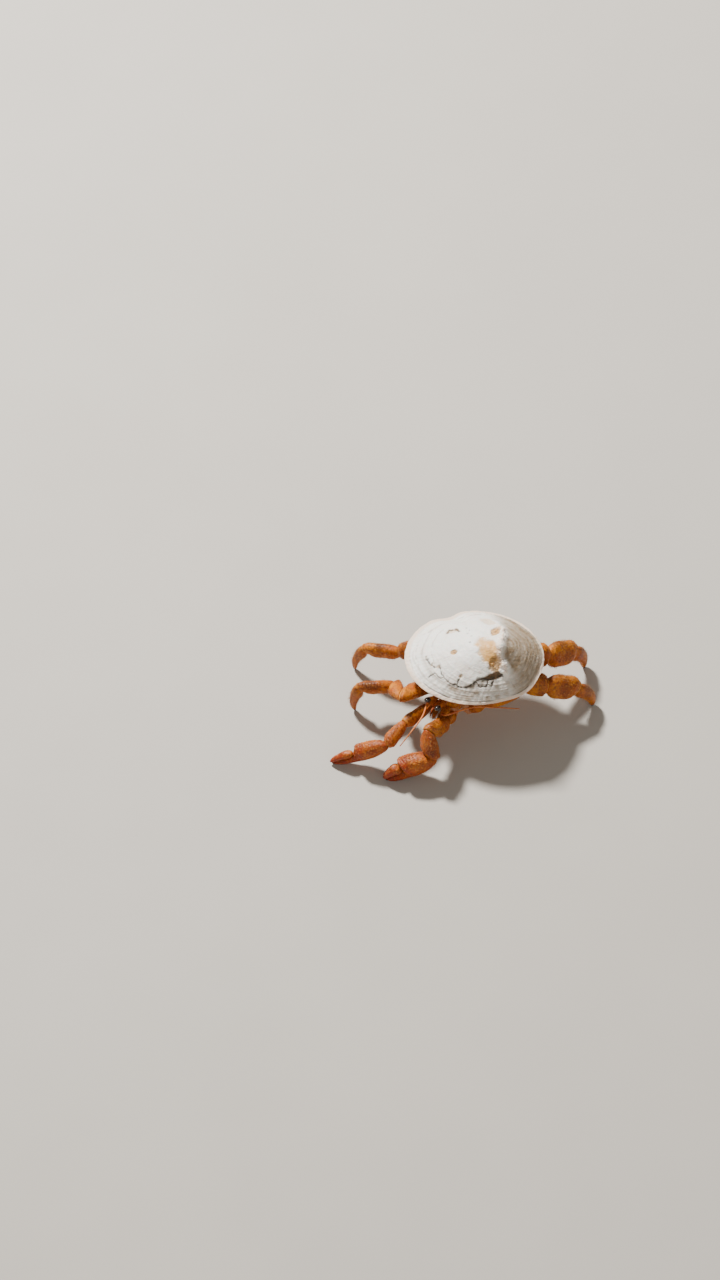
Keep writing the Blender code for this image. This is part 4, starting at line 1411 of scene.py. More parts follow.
class ShellRelief:
    """Height added to the shell's outer face, and the paint of its marks."""

    def __init__(self, share, angle):
        self.share, self.angle = share, angle
        self.places = shell_spot(share, angle)[0]
        self.lumps = np.concatenate([self.places, share[..., None] * 10], axis=-1)
        self.ragged = rough_noise(self.lumps, 0.9, 5, octaves=4)
        self.ringed = share * GROWTH_LINES + 1.3 * smooth_noise(compass(angle), 0.35, 8)
        self.waved = share + 0.008 * smooth_noise(compass(angle), 0.2, 21)
        self.height = np.zeros(share.shape)
        self.paint = {}

    def wander(self, strength, shift):
        """The places, shifted a little so that lines wander."""
        return self.places + strength * np.stack(shift, -1)

    def add_growth(self, look):
        """Fine growth lines, steps where growth paused, faint rays and chalky wear."""
        share, ragged = self.share, self.ragged
        lines = smooth_noise(np.stack([self.ringed, 0.5 * self.angle], -1), 1.0, 9)
        height = look.growth_relief / MM * lines * (0.25 + ramp(share, 0.35, 0.9))
        line = 0.35 * ramp(lines, 0.35, 0.9) * ramp(share, 0.6, 0.85)
        for stop, step in GROWTH_STOPS:
            back = (stop - self.waved) / 0.05
            lip = step * np.clip(1 - back, 0, 1) ** 2 * (back > 0)
            height = height + lip * (0.6 + 0.4 * ragged)
            under = bell(self.waved - stop - 0.006, 0.006)
            line = np.maximum(line, 0.5 * under * ramp(ragged, -0.5, 0.5) * ramp(stop, 0.5, 0.8))
        rays = np.cos(self.angle * RIBLETS + 2.5 * smooth_noise(self.lumps, 3.0, 12))
        height = height + look.riblet_relief / MM * rays * ramp(share, 0.45, 0.95)
        chalk = rough_noise(self.lumps, 0.4, 33, octaves=2)
        wear = rough_noise(self.lumps, 4.5, 6)
        self.height = height + 0.03 * ragged + 0.018 * chalk + 0.12 * wear
        self.paint["line"] = line

    def add_crest(self, bent):
        """A crest that is steeper on one side and drops away beyond it, with a painted highlight along
        it.
        """
        distance, side, reach = from_line(bent, CREST)
        strength = ramp(reach, 0.0, 0.4) * ramp(reach, 1.0, 0.93)
        left = side < 0
        ridge = bell(distance, np.where(left, 0.52, 0.75))
        self.height += CREST_HEIGHT * ridge * strength * (0.85 + 0.4 * self.ragged)
        drop = np.where(left, 0, ramp(distance, 0.2, 2.2) * np.exp(-distance / 3.2))
        self.height -= CREST_DROP * drop * strength
        # The crest gets the rim's warm cream as a painted highlight; the rim paint itself is the
        # growing edge.
        crest = bell(distance, 0.34) * strength
        self.paint["rim"] = np.maximum(ramp(self.share, 0.93, 0.965), 0.8 * crest)

    def flank(self, bent):
        """How strongly the flank's darker paint shows at a place: partly the shell's own colour, partly
        painted shade.
        """
        distance, side, _ = from_line(bent, FLANK_SHADE_EDGE)
        sharp, soft = FLANK_SHADE_SPAN
        soft = soft + FLANK_SHADE_FADE * ramp(self.share, 0.35, 0.95)
        return np.where(side > 0, ramp(distance, sharp, soft), 0) * ramp(self.share, 0.985, 0.93)

    def add_break(self, bent):
        """The broken ledge and the older layer below it, the band colour round the rim, and the darker
        flank, partly painted shade.
        """
        ragged = self.ragged
        distance, side, reach = from_line(bent, BREAK)
        below = (side < 0) * (ramp(reach, 0.0, 0.12) * ramp(reach, 1.0, 0.92))
        edge = ramp(distance + 0.12 * ragged, 0.02, 0.18) * below
        self.height -= BREAK_DROP * edge * np.exp(-distance / 2.2)
        band = np.clip(ramp(distance, 0.0, 0.25) * below * (0.55 + 0.45 * ragged), 0, 1)
        sweep = bump_at(self.angle, *BAND_SWEEP) * ramp(self.share, 0.6, 0.72)
        band = np.maximum(band * 0.8, 0.62 * sweep * (0.7 + 0.3 * ragged))
        streaks = smooth_noise(np.stack([self.ringed * 0.5, 3 * self.angle], -1), 1.0, 15)
        # The flank is darkened in the band colour: partly its own colour, partly painted shade.
        flank = self.flank(bent) * (0.84 + 0.16 * ramp(streaks, -0.6, 0.8) + 0.08 * ragged)
        self.paint["band"] = np.maximum(band, flank)

    def add_cracks(self):
        """Cracks, a worn crescent, specks and scars at the rim."""
        ragged = self.ragged
        fine = self.wander(0.2, [smooth_noise(self.lumps, 0.5, seed) for seed in (80, 81)])
        blotch = 0.45 + 1.1 * ramp(smooth_noise(self.lumps, 0.55, 83), -0.5, 0.6)
        crack = np.zeros(self.share.shape)
        for line in CRACKS:
            width = (BREAK_WIDTH if line is BREAK else CRACK_WIDTH) * blotch
            crack = np.maximum(crack, bell(from_line(fine, line)[0], width) * ramp(ragged, -1.2, -0.4))
        distance, _, reach = from_line(fine, CRESCENT)
        crescent = bell(distance, 0.22) * ramp(ragged, -1.1, -0.3)
        crescent = crescent * ramp(reach, 0.0, 0.15) * ramp(reach, 1.0, 0.8)
        crack = np.maximum(crack, 0.85 * crescent)
        for spot in SPECKS:
            speck = bell(np.linalg.norm(fine - np.array(spot), axis=-1), SPECK_SIZE)
            crack = np.maximum(crack, 0.7 * speck)
        degrees = np.degrees(self.angle) % 360
        for start, end, at in RIM_SCARS:
            scar = ramp(degrees, start, start + 4) * ramp(degrees, end, end - 4)
            crack = np.maximum(crack, 0.85 * scar * bell(self.waved - at, 0.006))
        self.height -= CRACK_DEPTH * crack
        self.paint.update(crack=crack, brown=0.9 * crescent)

    def add_pores(self):
        """Fine pores in patches."""
        pores = granules(self.angle / (2 * math.pi), self.share, *PORES, 91, 0.3)
        pores = pores * ramp(self.share, 0.06, 0.2)
        pores = pores * ramp(smooth_noise(self.lumps, 2.5, 92), 0.0, 0.5)
        self.height -= PORE_DEPTH * pores
        self.paint["worn"] = 0.25 + self.ragged + pores

    def add_hollows(self):
        """Worn hollows, where deeper layers show."""
        for centre, sizes, degrees, depth, colours in HOLLOWS:
            across, along = np.moveaxis(self.places - np.array(centre), -1, 0)
            turn = math.radians(degrees)
            turned = np.stack([
                across * math.cos(turn) + along * math.sin(turn),
                -across * math.sin(turn) + along * math.cos(turn),
            ], -1)
            reach = np.linalg.norm(turned / np.array(sizes), axis=-1) + 0.22 * self.ragged
            worn = ramp(reach, 1.15, 0.7)
            self.height -= depth * worn * (0.8 + 0.4 * self.ragged)
            for name, strength in colours.items():
                self.paint[name] = np.maximum(self.paint.get(name, 0.0), strength * worn)


def outer_shell(angle, look):
    """The rows of the shell's outer face, and its paint."""
    shares = np.linspace(0.004, 1, SHELL_ROWS)
    share, turned = np.meshgrid(shares, angle, indexing="ij")
    relief = ShellRelief(share, turned)
    bent = relief.wander(0.22, [rough_noise(relief.lumps, 1.3, seed) for seed in (60, 70)])
    relief.add_growth(look)
    relief.add_crest(bent)
    relief.add_break(bent)
    relief.add_cracks()
    relief.add_pores()
    relief.add_hollows()
    face = bare_shell(share, turned)
    rows = face.rows + face.normals() * (relief.height * ramp(share, 1.0, 0.97))[..., None]
    nibble = 0.05 * rough_noise(compass(angle) * 12, 0.7, 30) - 0.04
    pull = ramp(shares, 0.95, 1.0)[:, None, None] * (compass(angle) * nibble[:, None])[None]
    rows[..., :2] += pull @ SHELL_SPIN.T
    return rows, relief.paint


def lining_rows(angle, shares, edge):
    """The rows of the smooth lining, joined to the edge of the outer face."""
    bare = bare_shell(*np.meshgrid(shares, angle, indexing="ij"))
    down = bare.normals()
    if down[..., 2].sum() > 0:
        down = -down
    wall = np.minimum(SHELL_WALL, RIM_WALL + (1 - shares) * 9.0)[:, None, None]
    rows = bare.rows + down * (wall + 0.02 * rough_noise(bare.rows, 1.5, 40)[..., None])
    rows[..., 2] = np.maximum(rows[..., 2], SHELL_RIM_HEIGHT - RIM_WALL)
    rows[0] = rows[0] * 0.5 + edge * 0.5
    rows[0][:, 2] -= 0.1
    return rows


def shell_surface(look):
    """The shell as one closed skin, outside and in."""
    angle = circle(SHELL_RAYS)
    outer, paint = outer_shell(angle, look)
    shares = np.linspace(1, 0.01, LINING_ROWS) ** 0.8
    surface = Surface(np.concatenate([outer, lining_rows(angle, shares, outer[-1])]))
    paint["inside"] = np.zeros(outer.shape[:2])
    lining = {"inside": ramp(shares, 1.0, 0.96), "rim": ramp(shares, 0.94, 0.98)}
    for name, value in paint.items():
        back = lining.get(name, np.zeros(LINING_ROWS))[:, None] * np.ones(SHELL_RAYS)
        surface.put(**{name: np.concatenate([np.clip(value, 0, 1), back])})
    return surface


# ======== trunk and soft skin
def trunk_surface(start, end, sections, sides, rows, shrink=1.0):
    """A trunk piece from sections, in the same places as its solid."""
    shares = np.linspace(0, 1, rows)
    half_width, half_height, lift = eased(sections, shares).T
    across, upward = squared(circle(sides), TRUNK_SQUARENESS)
    side, up = np.array(trunk_way((1, 0, 0))), np.array(UP)
    middles = np.array([on_trunk(Vector(start).lerp(Vector(end), share)) for share in shares])
    middles = middles + up * lift[:, None]
    rings = (
        middles[:, None, :]
        + side * (half_width[:, None] * across * shrink)[..., None]
        + up * (half_height[:, None] * upward * shrink)[..., None]
    )
    forward = (on_trunk(end) - on_trunk(start)).normalized()
    surface = Surface(rounded(rings, (-forward, forward), TRUNK_END_SIZES))
    surface.lay(with_ends(shares), -forward)
    return surface


def shield_surface():
    """The front of the carapace: neck groove, keel, toothed edges, granules."""
    surface = trunk_surface(BROW, NECK, SHIELD_SECTIONS, 110, 80)
    share, around = surface.share, surface.around
    turned = np.sin(around * 2 * math.pi)
    off = (around * 360 + 90) % 360 - 180
    neck = 0.62 - 0.16 * bell(off, 28) + 0.05 * np.cos(np.radians(off * 3))
    groove = bell(share - neck, 0.022) * ramp(np.abs(off), 100, 70)
    paired = (near_angle(around, 78, 4) + near_angle(around, 102, 4)) * ramp(share, 0.3, 0.1)
    keel = near_angle(around, 90, 5) * ramp(share, 0.3, 0.02)
    edge = near_angle(around, 8, 7) + near_angle(around, 172, 7)
    top = ramp(turned, -0.2, 0.3)
    grain = granules(around, share, 46, 22, 77) * top
    bite = 0.5 + 0.5 * np.cos(share * 2 * math.pi * 14)
    margin = bell(share - 0.035, 0.02) * top
    height = (
        0.05 * grain - 0.13 * groove - 0.05 * paired + 0.16 * keel + 0.12 * edge * bite
        + 0.1 * margin + 0.04 * rough_noise(surface.rows, 1.5, 4)
    )
    surface.raise_by(height * ramp(share, 0.0, 0.04) * ramp(share, 1.0, 0.97))
    patchy = rough_noise(surface.rows, 1.7, 14)
    surface.put(
        shade=np.clip(0.5 * ramp(patchy, -0.3, 0.6) * top + 0.6 * groove, 0, 0.9),
        pale=np.clip(0.3 * edge + 0.45 * ramp(turned, -0.3, -0.8), 0, 1),
        grain=grain * ramp(grain, 0.3, 0.9),
    )
    surface.put_coat(0.25 * np.clip(edge, 0, 1) + 0.05 * top + 0.75 * margin, 0.55 - 0.2 * margin)
    return surface


def breastplate_surface():
    """The plates between the hips, with the grooves that part them."""
    surface = trunk_surface(KEEL_FRONT, KEEL_BACK, STERNUM_SECTIONS, 64, 110)
    share = surface.share
    sutures = sum(bell(share - place, 0.012) for place in (0.2, 0.4, 0.6, 0.8))
    seam = near_angle(surface.around, 270, 5)
    plate = 0.5 + 0.5 * np.cos((share * 5 - 0.5) * 2 * math.pi)
    height = 0.05 * plate - 0.11 * sutures - 0.1 * seam + 0.03 * rough_noise(surface.rows, 0.9, 15)
    surface.raise_by(height * ramp(share, 0.0, 0.04) * ramp(share, 1.0, 0.96))
    patchy = rough_noise(surface.rows, 1.1, 16)
    shade = np.clip(0.7 * sutures + 0.5 * seam, 0, 0.8)
    surface.put(shade=shade, pale=0.55 + 0.25 * patchy)
    return surface


def hip_sleeves():
    """Sleeves that carry the soft skin out to the root of each limb."""
    sleeves = []
    for hip, *_ in limb_chains():
        size = SECTIONS["base"][0][1] * hip.width
        place = Matrix.Rotation(-TRUNK_TURN, 3, "Z") @ (hip.start - on_trunk((0, 0, 0)))
        core = on_trunk((place.x * 0.3, place.y * 0.92 - 0.1, CORE_HEIGHT))
        middle = core.lerp(hip.start, 0.55) - hip.along * 0.3
        path = (core, middle, hip.start - hip.along * 0.3, hip.start + hip.along * 0.2)
        radii = [size * full for full in SLEEVE_RADII]
        sleeves.append(bent_surface(path, radii, sides=28, steps=6))
    return sleeves


def soft_parts():
    """The closed soft parts, still overlapping, as one mesh in millimetres."""
    rear_start = Vector(NECK) + Vector((0, GAP, 0))
    rear = trunk_surface(rear_start, WAIST, REAR_SECTIONS, 64, 30, shrink=0.985)
    belly = trunk_bend(BELLY_PATH, 1, BELLY_RADII, sides=56, steps=10)
    belly = Surface(belly.rows[:round(belly.shape[0] * BELLY_SHARE)])
    core = trunk_surface(CORE_FRONT, CORE_BACK, CORE_SECTIONS, 48, 40)
    mesh = mesh_from("soft_parts", [rear, belly, core, *hip_sleeves()])
    mesh.transform(Matrix.Scale(1 / MM, 4))
    return mesh


def fused(mesh):
    """One smooth skin round the overlapping parts of a mesh."""
    holder = linked("fused", mesh)
    fuse = holder.modifiers.new("Fuse", "REMESH")
    fuse.mode = "VOXEL"
    fuse.voxel_size = SKIN_VOXEL
    fuse.use_smooth_shade = True
    relax = holder.modifiers.new("Relax", "SMOOTH")
    relax.factor = 0.5
    relax.iterations = SKIN_RELAX
    return evaluated_mesh(holder)


def vectors_of(items, name):
    """A vector of each item of a mesh, as rows."""
    values = np.zeros(len(items) * 3)
    items.foreach_get(name, values)
    return values.reshape(-1, 3)


def soft_skin_mesh():
    """One wrinkled skin over the rear carapace, belly and hips."""
    mesh = fused(soft_parts())
    points, ways = vectors_of(mesh.vertices, "co"), vectors_of(mesh.vertex_normals, "vector")
    wavy = points + 0.6 * smooth_noise(points, 2.0, 50)[:, None]
    rings = np.sin((wavy[:, 1] * 0.9 - wavy[:, 2] * 0.9) * 5.2)
    on_belly = ramp((points + np.array(STANCE_CENTRE))[:, 1], 2.5, 4.5)
    height = (
        0.05 * on_belly * rings + 0.05 * rough_noise(points, 0.9, 51)
        - 0.07 * ramp(np.abs(smooth_noise(points, 0.8, 52)), 0.12, 0.0)
    )
    points = points + ways * height[:, None]
    mesh.vertices.foreach_set("co", (points * MM).ravel())
    # fold: painted shade, darker the deeper the skin is pushed in at its creases.
    fold = mesh.attributes.new("fold", "FLOAT", "POINT")
    fold.data.foreach_set("value", np.clip(-height / 0.08, 0, 1).astype(np.float32))
    mesh.update()
    mesh.shade_smooth()
    return mesh


def tail_surfaces():
    """The tail plate and its two pairs of side blades."""
    path = trunk_path(BELLY_PATH[4:])
    stem = bent_surface(path, TAIL_RADII, sides=30, steps=10, waists=(0.4, 0.75))
    paint_crust(stem, pale=0.2, hair=0.15, hair_size=0.4)
    surfaces = [stem]
    for _, hand in HANDS:
        root = path[1] + Vector((0.5 * hand, 0, -0.1))
        for reach, drop in TAIL_BLADES:
            middle = root + Vector((reach * hand * 0.8, -0.6, drop * 0.5))
            tip = root + Vector((reach * hand, -1.5, drop))
            blade = bent_surface((root, middle, tip), TAIL_BLADE_RADII, sides=18, steps=6)
            paint_crust(blade, pale=0.3, hair=0.5, hair_size=0.4, seed=9)
            surfaces.append(blade)
    return surfaces


def gripping_leg_surface(kind, hand):
    """A small leg that holds the shell from inside, rasped at its tip."""
    path, radii = GRIPPING_LEGS[kind]
    surface = trunk_bend(path, hand, radii, sides=40, waists=(0.22, 0.55, 0.82))
    rasp = ramp(surface.share, 0.6, 0.75)
    roughen(surface, 0.05, 0.2, 8)
    paint_crust(surface, pale=0.3 + 0.3 * rasp, hair=0.3 + 0.4 * rasp, hair_size=0.45)
    return surface


# ======== head
def thorn_surface(root, hand, reach, radius, hair):
    """A tapering point that reaches from root by the given steps."""
    points = [root + trunk_way(step) for step in handed(reach, hand)]
    thorn = bent_surface(points, [radius * full for full in THORN_TAPER], flat=0.8, sides=20, steps=10)
    horn = ramp(thorn.share, 0.85, 0.97)
    paint_crust(thorn, red=0.2 * thorn.share, horn=horn, hair=hair, hair_size=0.4, seed=19)
    return thorn


def eyestalk_surfaces(hand):
    """A stalk with a collar round its eye, and the pointed scale at its root."""
    root, tip = trunk_path((EYESTALK_ROOT, EYESTALK_TIP), hand)
    collar = tip + (tip - root).normalized() * EYE_COLLAR
    stalk = bent_surface(
        (root, root.lerp(collar, 0.5), collar), STALK_RADII, flat=EYESTALK_FLATNESS,
        sides=48, steps=26, waists=(0.16,),
    )
    roughen(stalk, 0.02, 0.16, 5)
    under = near_angle(stalk.around, 270, 40)
    tufts = near_angle(stalk.around, 90, 45) * ramp(stalk.share, 0.9, 0.75)
    paint_crust(stalk, pale=0.35 * under, hair=0.1 + 0.6 * tufts, hair_size=0.26)
    return [stalk, thorn_surface(root, hand, OCULAR_SCALE, 0.24, 0.15)]


def antenna_base_surfaces(hand):
    """The jointed base of an antenna, with the thorn on its outer side."""
    path = trunk_path(ANTENNA_BASE_PATH, hand)
    base = bent_surface(path, ANTENNA_BASE_RADII, sides=44, steps=24, waists=(0.34, 0.7))
    roughen(base, 0.03, 0.2, 6)
    paint_crust(base, hair=0.2 + 0.7 * ramp(base.share, 0.5, 0.8), hair_size=0.42, seed=5)
    return [base, thorn_surface(path[1], hand, ANTENNA_THORN, 0.2, 0.35)]


def jaw_foot_surfaces(hand):
    """A jaw foot with its palp, and the inner mouth parts behind it."""
    path = trunk_path(JAW_FOOT_PATH, hand)
    jaw = bent_surface(
        path, JAW_FOOT_RADII, flat=0.86, sides=44, steps=30, waists=(0.3, 0.55, 0.78), tip_scale=1.4
    )
    roughen(jaw, 0.03, 0.2, 7)
    fringe = near_angle(jaw.around, 90, 60) + near_angle(jaw.around, 270, 60)
    paint_crust(jaw, pale=0.25, hair=0.2 + 0.8 * np.clip(fringe, 0, 1), hair_size=0.75, seed=7)
    surfaces = [jaw, thorn_surface(path[1], hand, JAW_PALP, 0.2, 0.9)]
    for points, radii, hair in MOUTH_PARTS:
        part = trunk_bend(points, hand, radii, flat=0.8, sides=28, steps=16, waists=(0.35, 0.68))
        paint_crust(part, pale=0.4, hair=hair, hair_size=0.45, seed=23)
        surfaces.append(part)
    return surfaces


HEAD_PARTS = {
    "eyestalk": eyestalk_surfaces,
    "antenna_base": antenna_base_surfaces,
    "jaw_foot": jaw_foot_surfaces,
}


def eye_surface(hand):
    """A long eye at the end of its stalk."""
    root, tip = handed((EYESTALK_ROOT, EYESTALK_TIP), hand)
    along = (tip - root).normalized()
    centre = np.array(on_trunk(tip + along * EYE_SEAT))
    turn = np.array(trunk_way(along).to_track_quat("Z", "Y").to_matrix())
    tilt = np.linspace(math.radians(176), math.radians(4), EYE_ROWS)[:, None]
    across, up = np.sin(tilt) ** 0.85, np.broadcast_to(np.cos(tilt), (EYE_ROWS, EYE_SIDES))
    around = circle(EYE_SIDES)
    ball = np.stack([across * np.cos(around), across * np.sin(around), up], -1) * EYE_RADII
    poles = [centre + turn @ (0, 0, z * EYE_RADII[2]) for z in (-1, 1)]
    surface = Surface(centre + ball @ turn.T, poles)
    surface.put(rim=ramp(tilt, 2.0, 2.6))
    return surface


def antennule_surfaces(hand):
    """A jointed antennule with its two short ringed lashes."""
    path = trunk_path(ANTENNULE_PATH, hand)
    stem = bent_surface(path, ANTENNULE_RADII, flat=0.85, steps=24, waists=(0.3, 0.62, 0.97))
    stem.put(ring=0.25 * near_angle(stem.around, 90, 60))
    surfaces = [stem]
    for reach, size in ANTENNULE_LASHES:
        points = [path[-1] + trunk_way(step) for step in handed(reach, hand)]
        lash = bent_surface(points, [size * full for full in LASH_TAPER], sides=20, steps=22)
        phase = (lash.share * LASH_RINGS) % 1
        lash.raise_by(0.16 * size * (phase**1.6 - 0.5) * ramp(lash.share, 0.0, 0.06))
        lash.put(ring=0.7 * ramp(phase, 0.75, 0.95))
        surfaces.append(lash)
    return surfaces


def antenna_path(word, hand):
    """A smooth path for an antenna, from its base to its tip."""
    return spline([*trunk_path((ANTENNA_ROOT,), hand), *ANTENNA_REACH[word]], 12)


# ======== geometry-node trees
SOCKET_KINDS = {str: "String", float: "Float", int: "Int", type(None): "Material"}


def group_with(name, inputs):
    """A new geometry-node group with named inputs, its tree and its inputs."""
    group = bpy.data.node_groups.new(name, "GeometryNodeTree")
    for way in ("INPUT", "OUTPUT"):
        group.interface.new_socket("Geometry", in_out=way, socket_type="NodeSocketGeometry")
    for label, value in inputs.items():
        kind = f"NodeSocket{SOCKET_KINDS[type(value)]}"
        socket = group.interface.new_socket(label, in_out="INPUT", socket_type=kind)
        if value is not None:
            socket.default_value = value
    tree = Tree(group)
    return group, tree, tree.add("NodeGroupInput").outputs


def growth_point(tree, given):
    """One tapering point, marked with how high and how far across."""
    post = tree.add("GeometryNodeMeshCone", {
        "Vertices": given["Sides"], "Side Segments": 4, "Radius Top": 1.0, "Depth": 1.0,
    })
    here = tree.add("ShaderNodeSeparateXYZ", {0: tree.add("GeometryNodeInputPosition")}).outputs
    marked = tree.store(post.outputs["Mesh"], "rise", here["Z"])
    marked = tree.store(marked, "across", here["X"])
    narrowing = tree.maths("SUBTRACT", 1.03, tree.maths("POWER", here["Z"], given["Bluntness"]))
    radius = tree.times(narrowing, given["Thickness"])
    curl = tree.times(tree.maths("POWER", here["Z"], 2.0), given["Bend"])
    sunk = tree.maths("SUBTRACT", here["Z"], 0.06)
    bent = tree.add("ShaderNodeCombineXYZ", {
        "X": tree.plus(tree.times(here["X"], radius), tree.times(curl, given["Length"])),
        "Y": tree.times(here["Y"], radius),
        "Z": tree.times(sunk, given["Length"]),
    })
    return tree.add("GeometryNodeSetPosition", {"Geometry": marked, "Position": bent})


def growth_turn(tree, given, normal):
    """The turn of each growth: along its lie, stood up, a little astray."""
    lie = tree.add("ShaderNodeCombineXYZ", {a.upper(): tree.named(f"lie_{a}") for a in "xyz"})
    chance = tree.add("FunctionNodeRandomValue", {
        0: (-1, -1, -1), 1: (1, 1, 1), "Seed": given["Seed"],
    }, data_type="FLOAT_VECTOR")
    leaning = tree.vector("ADD", tree.vector("SCALE", normal, given["Stand"]), lie)
    way = tree.vector("ADD", leaning, tree.vector("SCALE", chance, given["Stray"]))
    return tree.add("FunctionNodeAlignRotationToVector", {"Vector": way}, axis="Z")


def growth_group():
    """Bristles or spines: tapering points that lean along the lie."""
    group, tree, given = group_with("Growths", {
        "Where": "hair", "Size": "hair_size", "Length": 0.0007, "Thickness": 0.00002,
        "Bluntness": 1.0, "Sides": 4, "Count": 4.0e6, "Spacing": 0.0, "Stand": 0.55,
        "Bend": 0.25, "Stray": 0.35, "Seed": 4, "Material": None,
    })
    points = tree.add("GeometryNodeDistributePointsOnFaces", {
        "Mesh": given["Geometry"], "Distance Min": given["Spacing"],
        "Density Max": given["Count"], "Density Factor": tree.named(given["Where"]),
        "Seed": given["Seed"],
    }, distribute_method="POISSON").outputs
    uneven = tree.add("FunctionNodeRandomValue", {
        "Min": 0.45, "Max": 1.1, "Seed": tree.plus(given["Seed"], 9.0),
    }, data_type="FLOAT")
    placed = tree.add("GeometryNodeInstanceOnPoints", {
        "Points": points["Points"], "Instance": growth_point(tree, given),
        "Rotation": growth_turn(tree, given, points["Normal"]),
        "Scale": tree.times(uneven, tree.named(given["Size"])),
    })
    real = tree.add("GeometryNodeRealizeInstances", {"Geometry": placed})
    aside = tree.times(tree.named("across"), PATCH / 2)
    along = tree.times(tree.named("rise"), PATCH)
    spot = tree.add("ShaderNodeCombineXYZ", {
        "X": tree.plus(tree.named("root_u"), aside), "Y": tree.plus(tree.named("root_v"), along),
    })
    mapped = tree.store(real, "OFBake", spot, "FLOAT2", "CORNER")
    tree.end_group(mapped, given["Material"])
    return group


def feeler_group():
    """A ringed feeler along a curve."""
    group, tree, given = group_with("Feeler", {
        "Root Radius": 0.0003, "Tip Radius": 0.0001, "Rings": 40.0, "Ring Depth": 0.1, "Material": None,
    })
    count = tree.times(given["Rings"], 6.0)
    fine = tree.add("GeometryNodeResampleCurve", {"Curve": given["Geometry"], "Count": count})
    share = tree.add("GeometryNodeSplineParameter").outputs["Factor"]
    taper = tree.between(share, given["Root Radius"], given["Tip Radius"])
    phase = tree.maths("FRACT", tree.times(share, given["Rings"]))
    depth = tree.times(tree.maths("POWER", phase, 1.6), given["Ring Depth"])
    swell = tree.plus(tree.maths("SUBTRACT", 1.0, given["Ring Depth"]), depth)
    ringed = tree.times(taper, swell)
    sized = tree.add("GeometryNodeSetCurveRadius", {"Curve": fine, "Radius": ringed})
    dark = tree.times(tree.maths("GREATER_THAN", phase, 0.78), 0.8)
    tube = tree.add("GeometryNodeCurveToMesh", {
        "Curve": tree.store(sized, "ring", dark), "Scale": ringed, "Fill Caps": True,
        "Profile Curve": tree.add("GeometryNodeCurvePrimitiveCircle", {"Resolution": 12}),
    })
    real = tree.add("GeometryNodeRealizeInstances", {"Geometry": tube})
    tree.end_group(real, given["Material"])
    return group


def grown(holder, group, settings):
    """The plain mesh that a node group makes on an object."""
    modifier = holder.modifiers.new("Grow", "NODES")
    modifier.node_group = group
    sockets = {s.name: s.identifier for s in group.interface.items_tree if s.in_out == "INPUT"}
    for name, value in settings.items():
        modifier[sockets[name]] = value
    return evaluated_mesh(holder)


def feeler_mesh(name, path, group):
    """A ringed antenna along a path."""
    curve = bpy.data.curves.new(name, "CURVE")
    curve.dimensions = "3D"
    line = curve.splines.new("POLY")
    line.points.add(len(path) - 1)
    for spot, knot in zip(row_points([tuple(p) for p in path]), line.points):
        knot.co = (*spot, 1)
    length = sum((b - a).length for a, b in zip(path, path[1:]))
    root, tip = ANTENNA_RADII
    mesh = grown(linked(name, curve), group, {
        "Root Radius": root * MM, "Tip Radius": tip * MM,
        "Rings": float(round(length / ANTENNA_RING)), "Material": material_of("feeler_rings"),
    })
    face_outwards(mesh, weld=1e-7)
    mesh.shade_smooth()
    return mesh


def limb_skins(limb):
    """The names of the crust pieces of a limb."""
    parts = LEG_PARTS if limb in LEGS else (*CLAW_PARTS, "finger")
    return [f"{limb}_{part}_crust" for part in parts]


def two_sided(kinds):
    """The names of the left and right crust pieces of each kind."""
    return [f"{kind}_{word}_crust" for kind in kinds for word, _ in HANDS]


def joined_skins(name, skins):
    """The named skins as one object, each on its own strip of one map."""
    shape = bmesh.new()
    sizes = []
    for skin in skins:
        shape.from_mesh(bpy.data.objects[skin].data)
        sizes.append(len(bpy.data.objects[skin].data.vertices))
    mesh = bpy.data.meshes.new(name)
    shape.to_mesh(mesh)
    shape.free()
    across = np.zeros(len(mesh.vertices), np.float32)
    mesh.attributes["root_u"].data.foreach_get("value", across)
    across = (across + np.repeat(np.arange(len(skins)), sizes)) / len(skins)
    mesh.attributes["root_u"].data.foreach_set("value", across.astype(np.float32))
    return linked(name, mesh)


def add_growths(name, skins, group, finish, slot, settings):
    """Adds one coat of spines or bristles, grown on the named skins."""
    settings = {**settings, "Material": material_of(finish)}
    mesh = grown(joined_skins(f"{name}_skin", skins), group, settings)
    mesh.name = name
    mesh.shade_smooth()
    add_piece(name, mesh, finish, slot)


# ======== floor, light and camera
def add_floor():
    """A wide pale floor just under the feet."""
    mesh = bpy.data.meshes.new("floor")
    corners = ((-1, -1), (1, -1), (1, 1), (-1, 1))
    points = [(x * FLOOR_REACH, y * FLOOR_REACH, -FLOOR_DROP) for x, y in corners]
    mesh.from_pydata(points, [], [(0, 1, 2, 3)])
    mesh.materials.append(material_of("studio_floor"))
    floor = linked("floor", mesh)


def add_lights(stage):
    """A small strong light, a wide weak one and a glow from all round."""
    for name, (way, distance, size, part) in LIGHTS.items():
        light = bpy.data.lights.new(name, "AREA")
        light.shape = "DISK"
        light.size = size
        light.energy = stage.key_power * part
        lamp = linked(name, light)
        lamp.location = Vector(way).normalized() * distance
        lamp.rotation_euler = Vector(way).to_track_quat("Z", "Y").to_euler()
    world = bpy.data.worlds.new("studio")
    world.use_nodes = True
    surround = world.node_tree.nodes["Background"]
    surround.inputs["Color"].default_value = (*SURROUND, 1.0)
    surround.inputs["Strength"].default_value = stage.world_strength
    bpy.context.scene.world = world


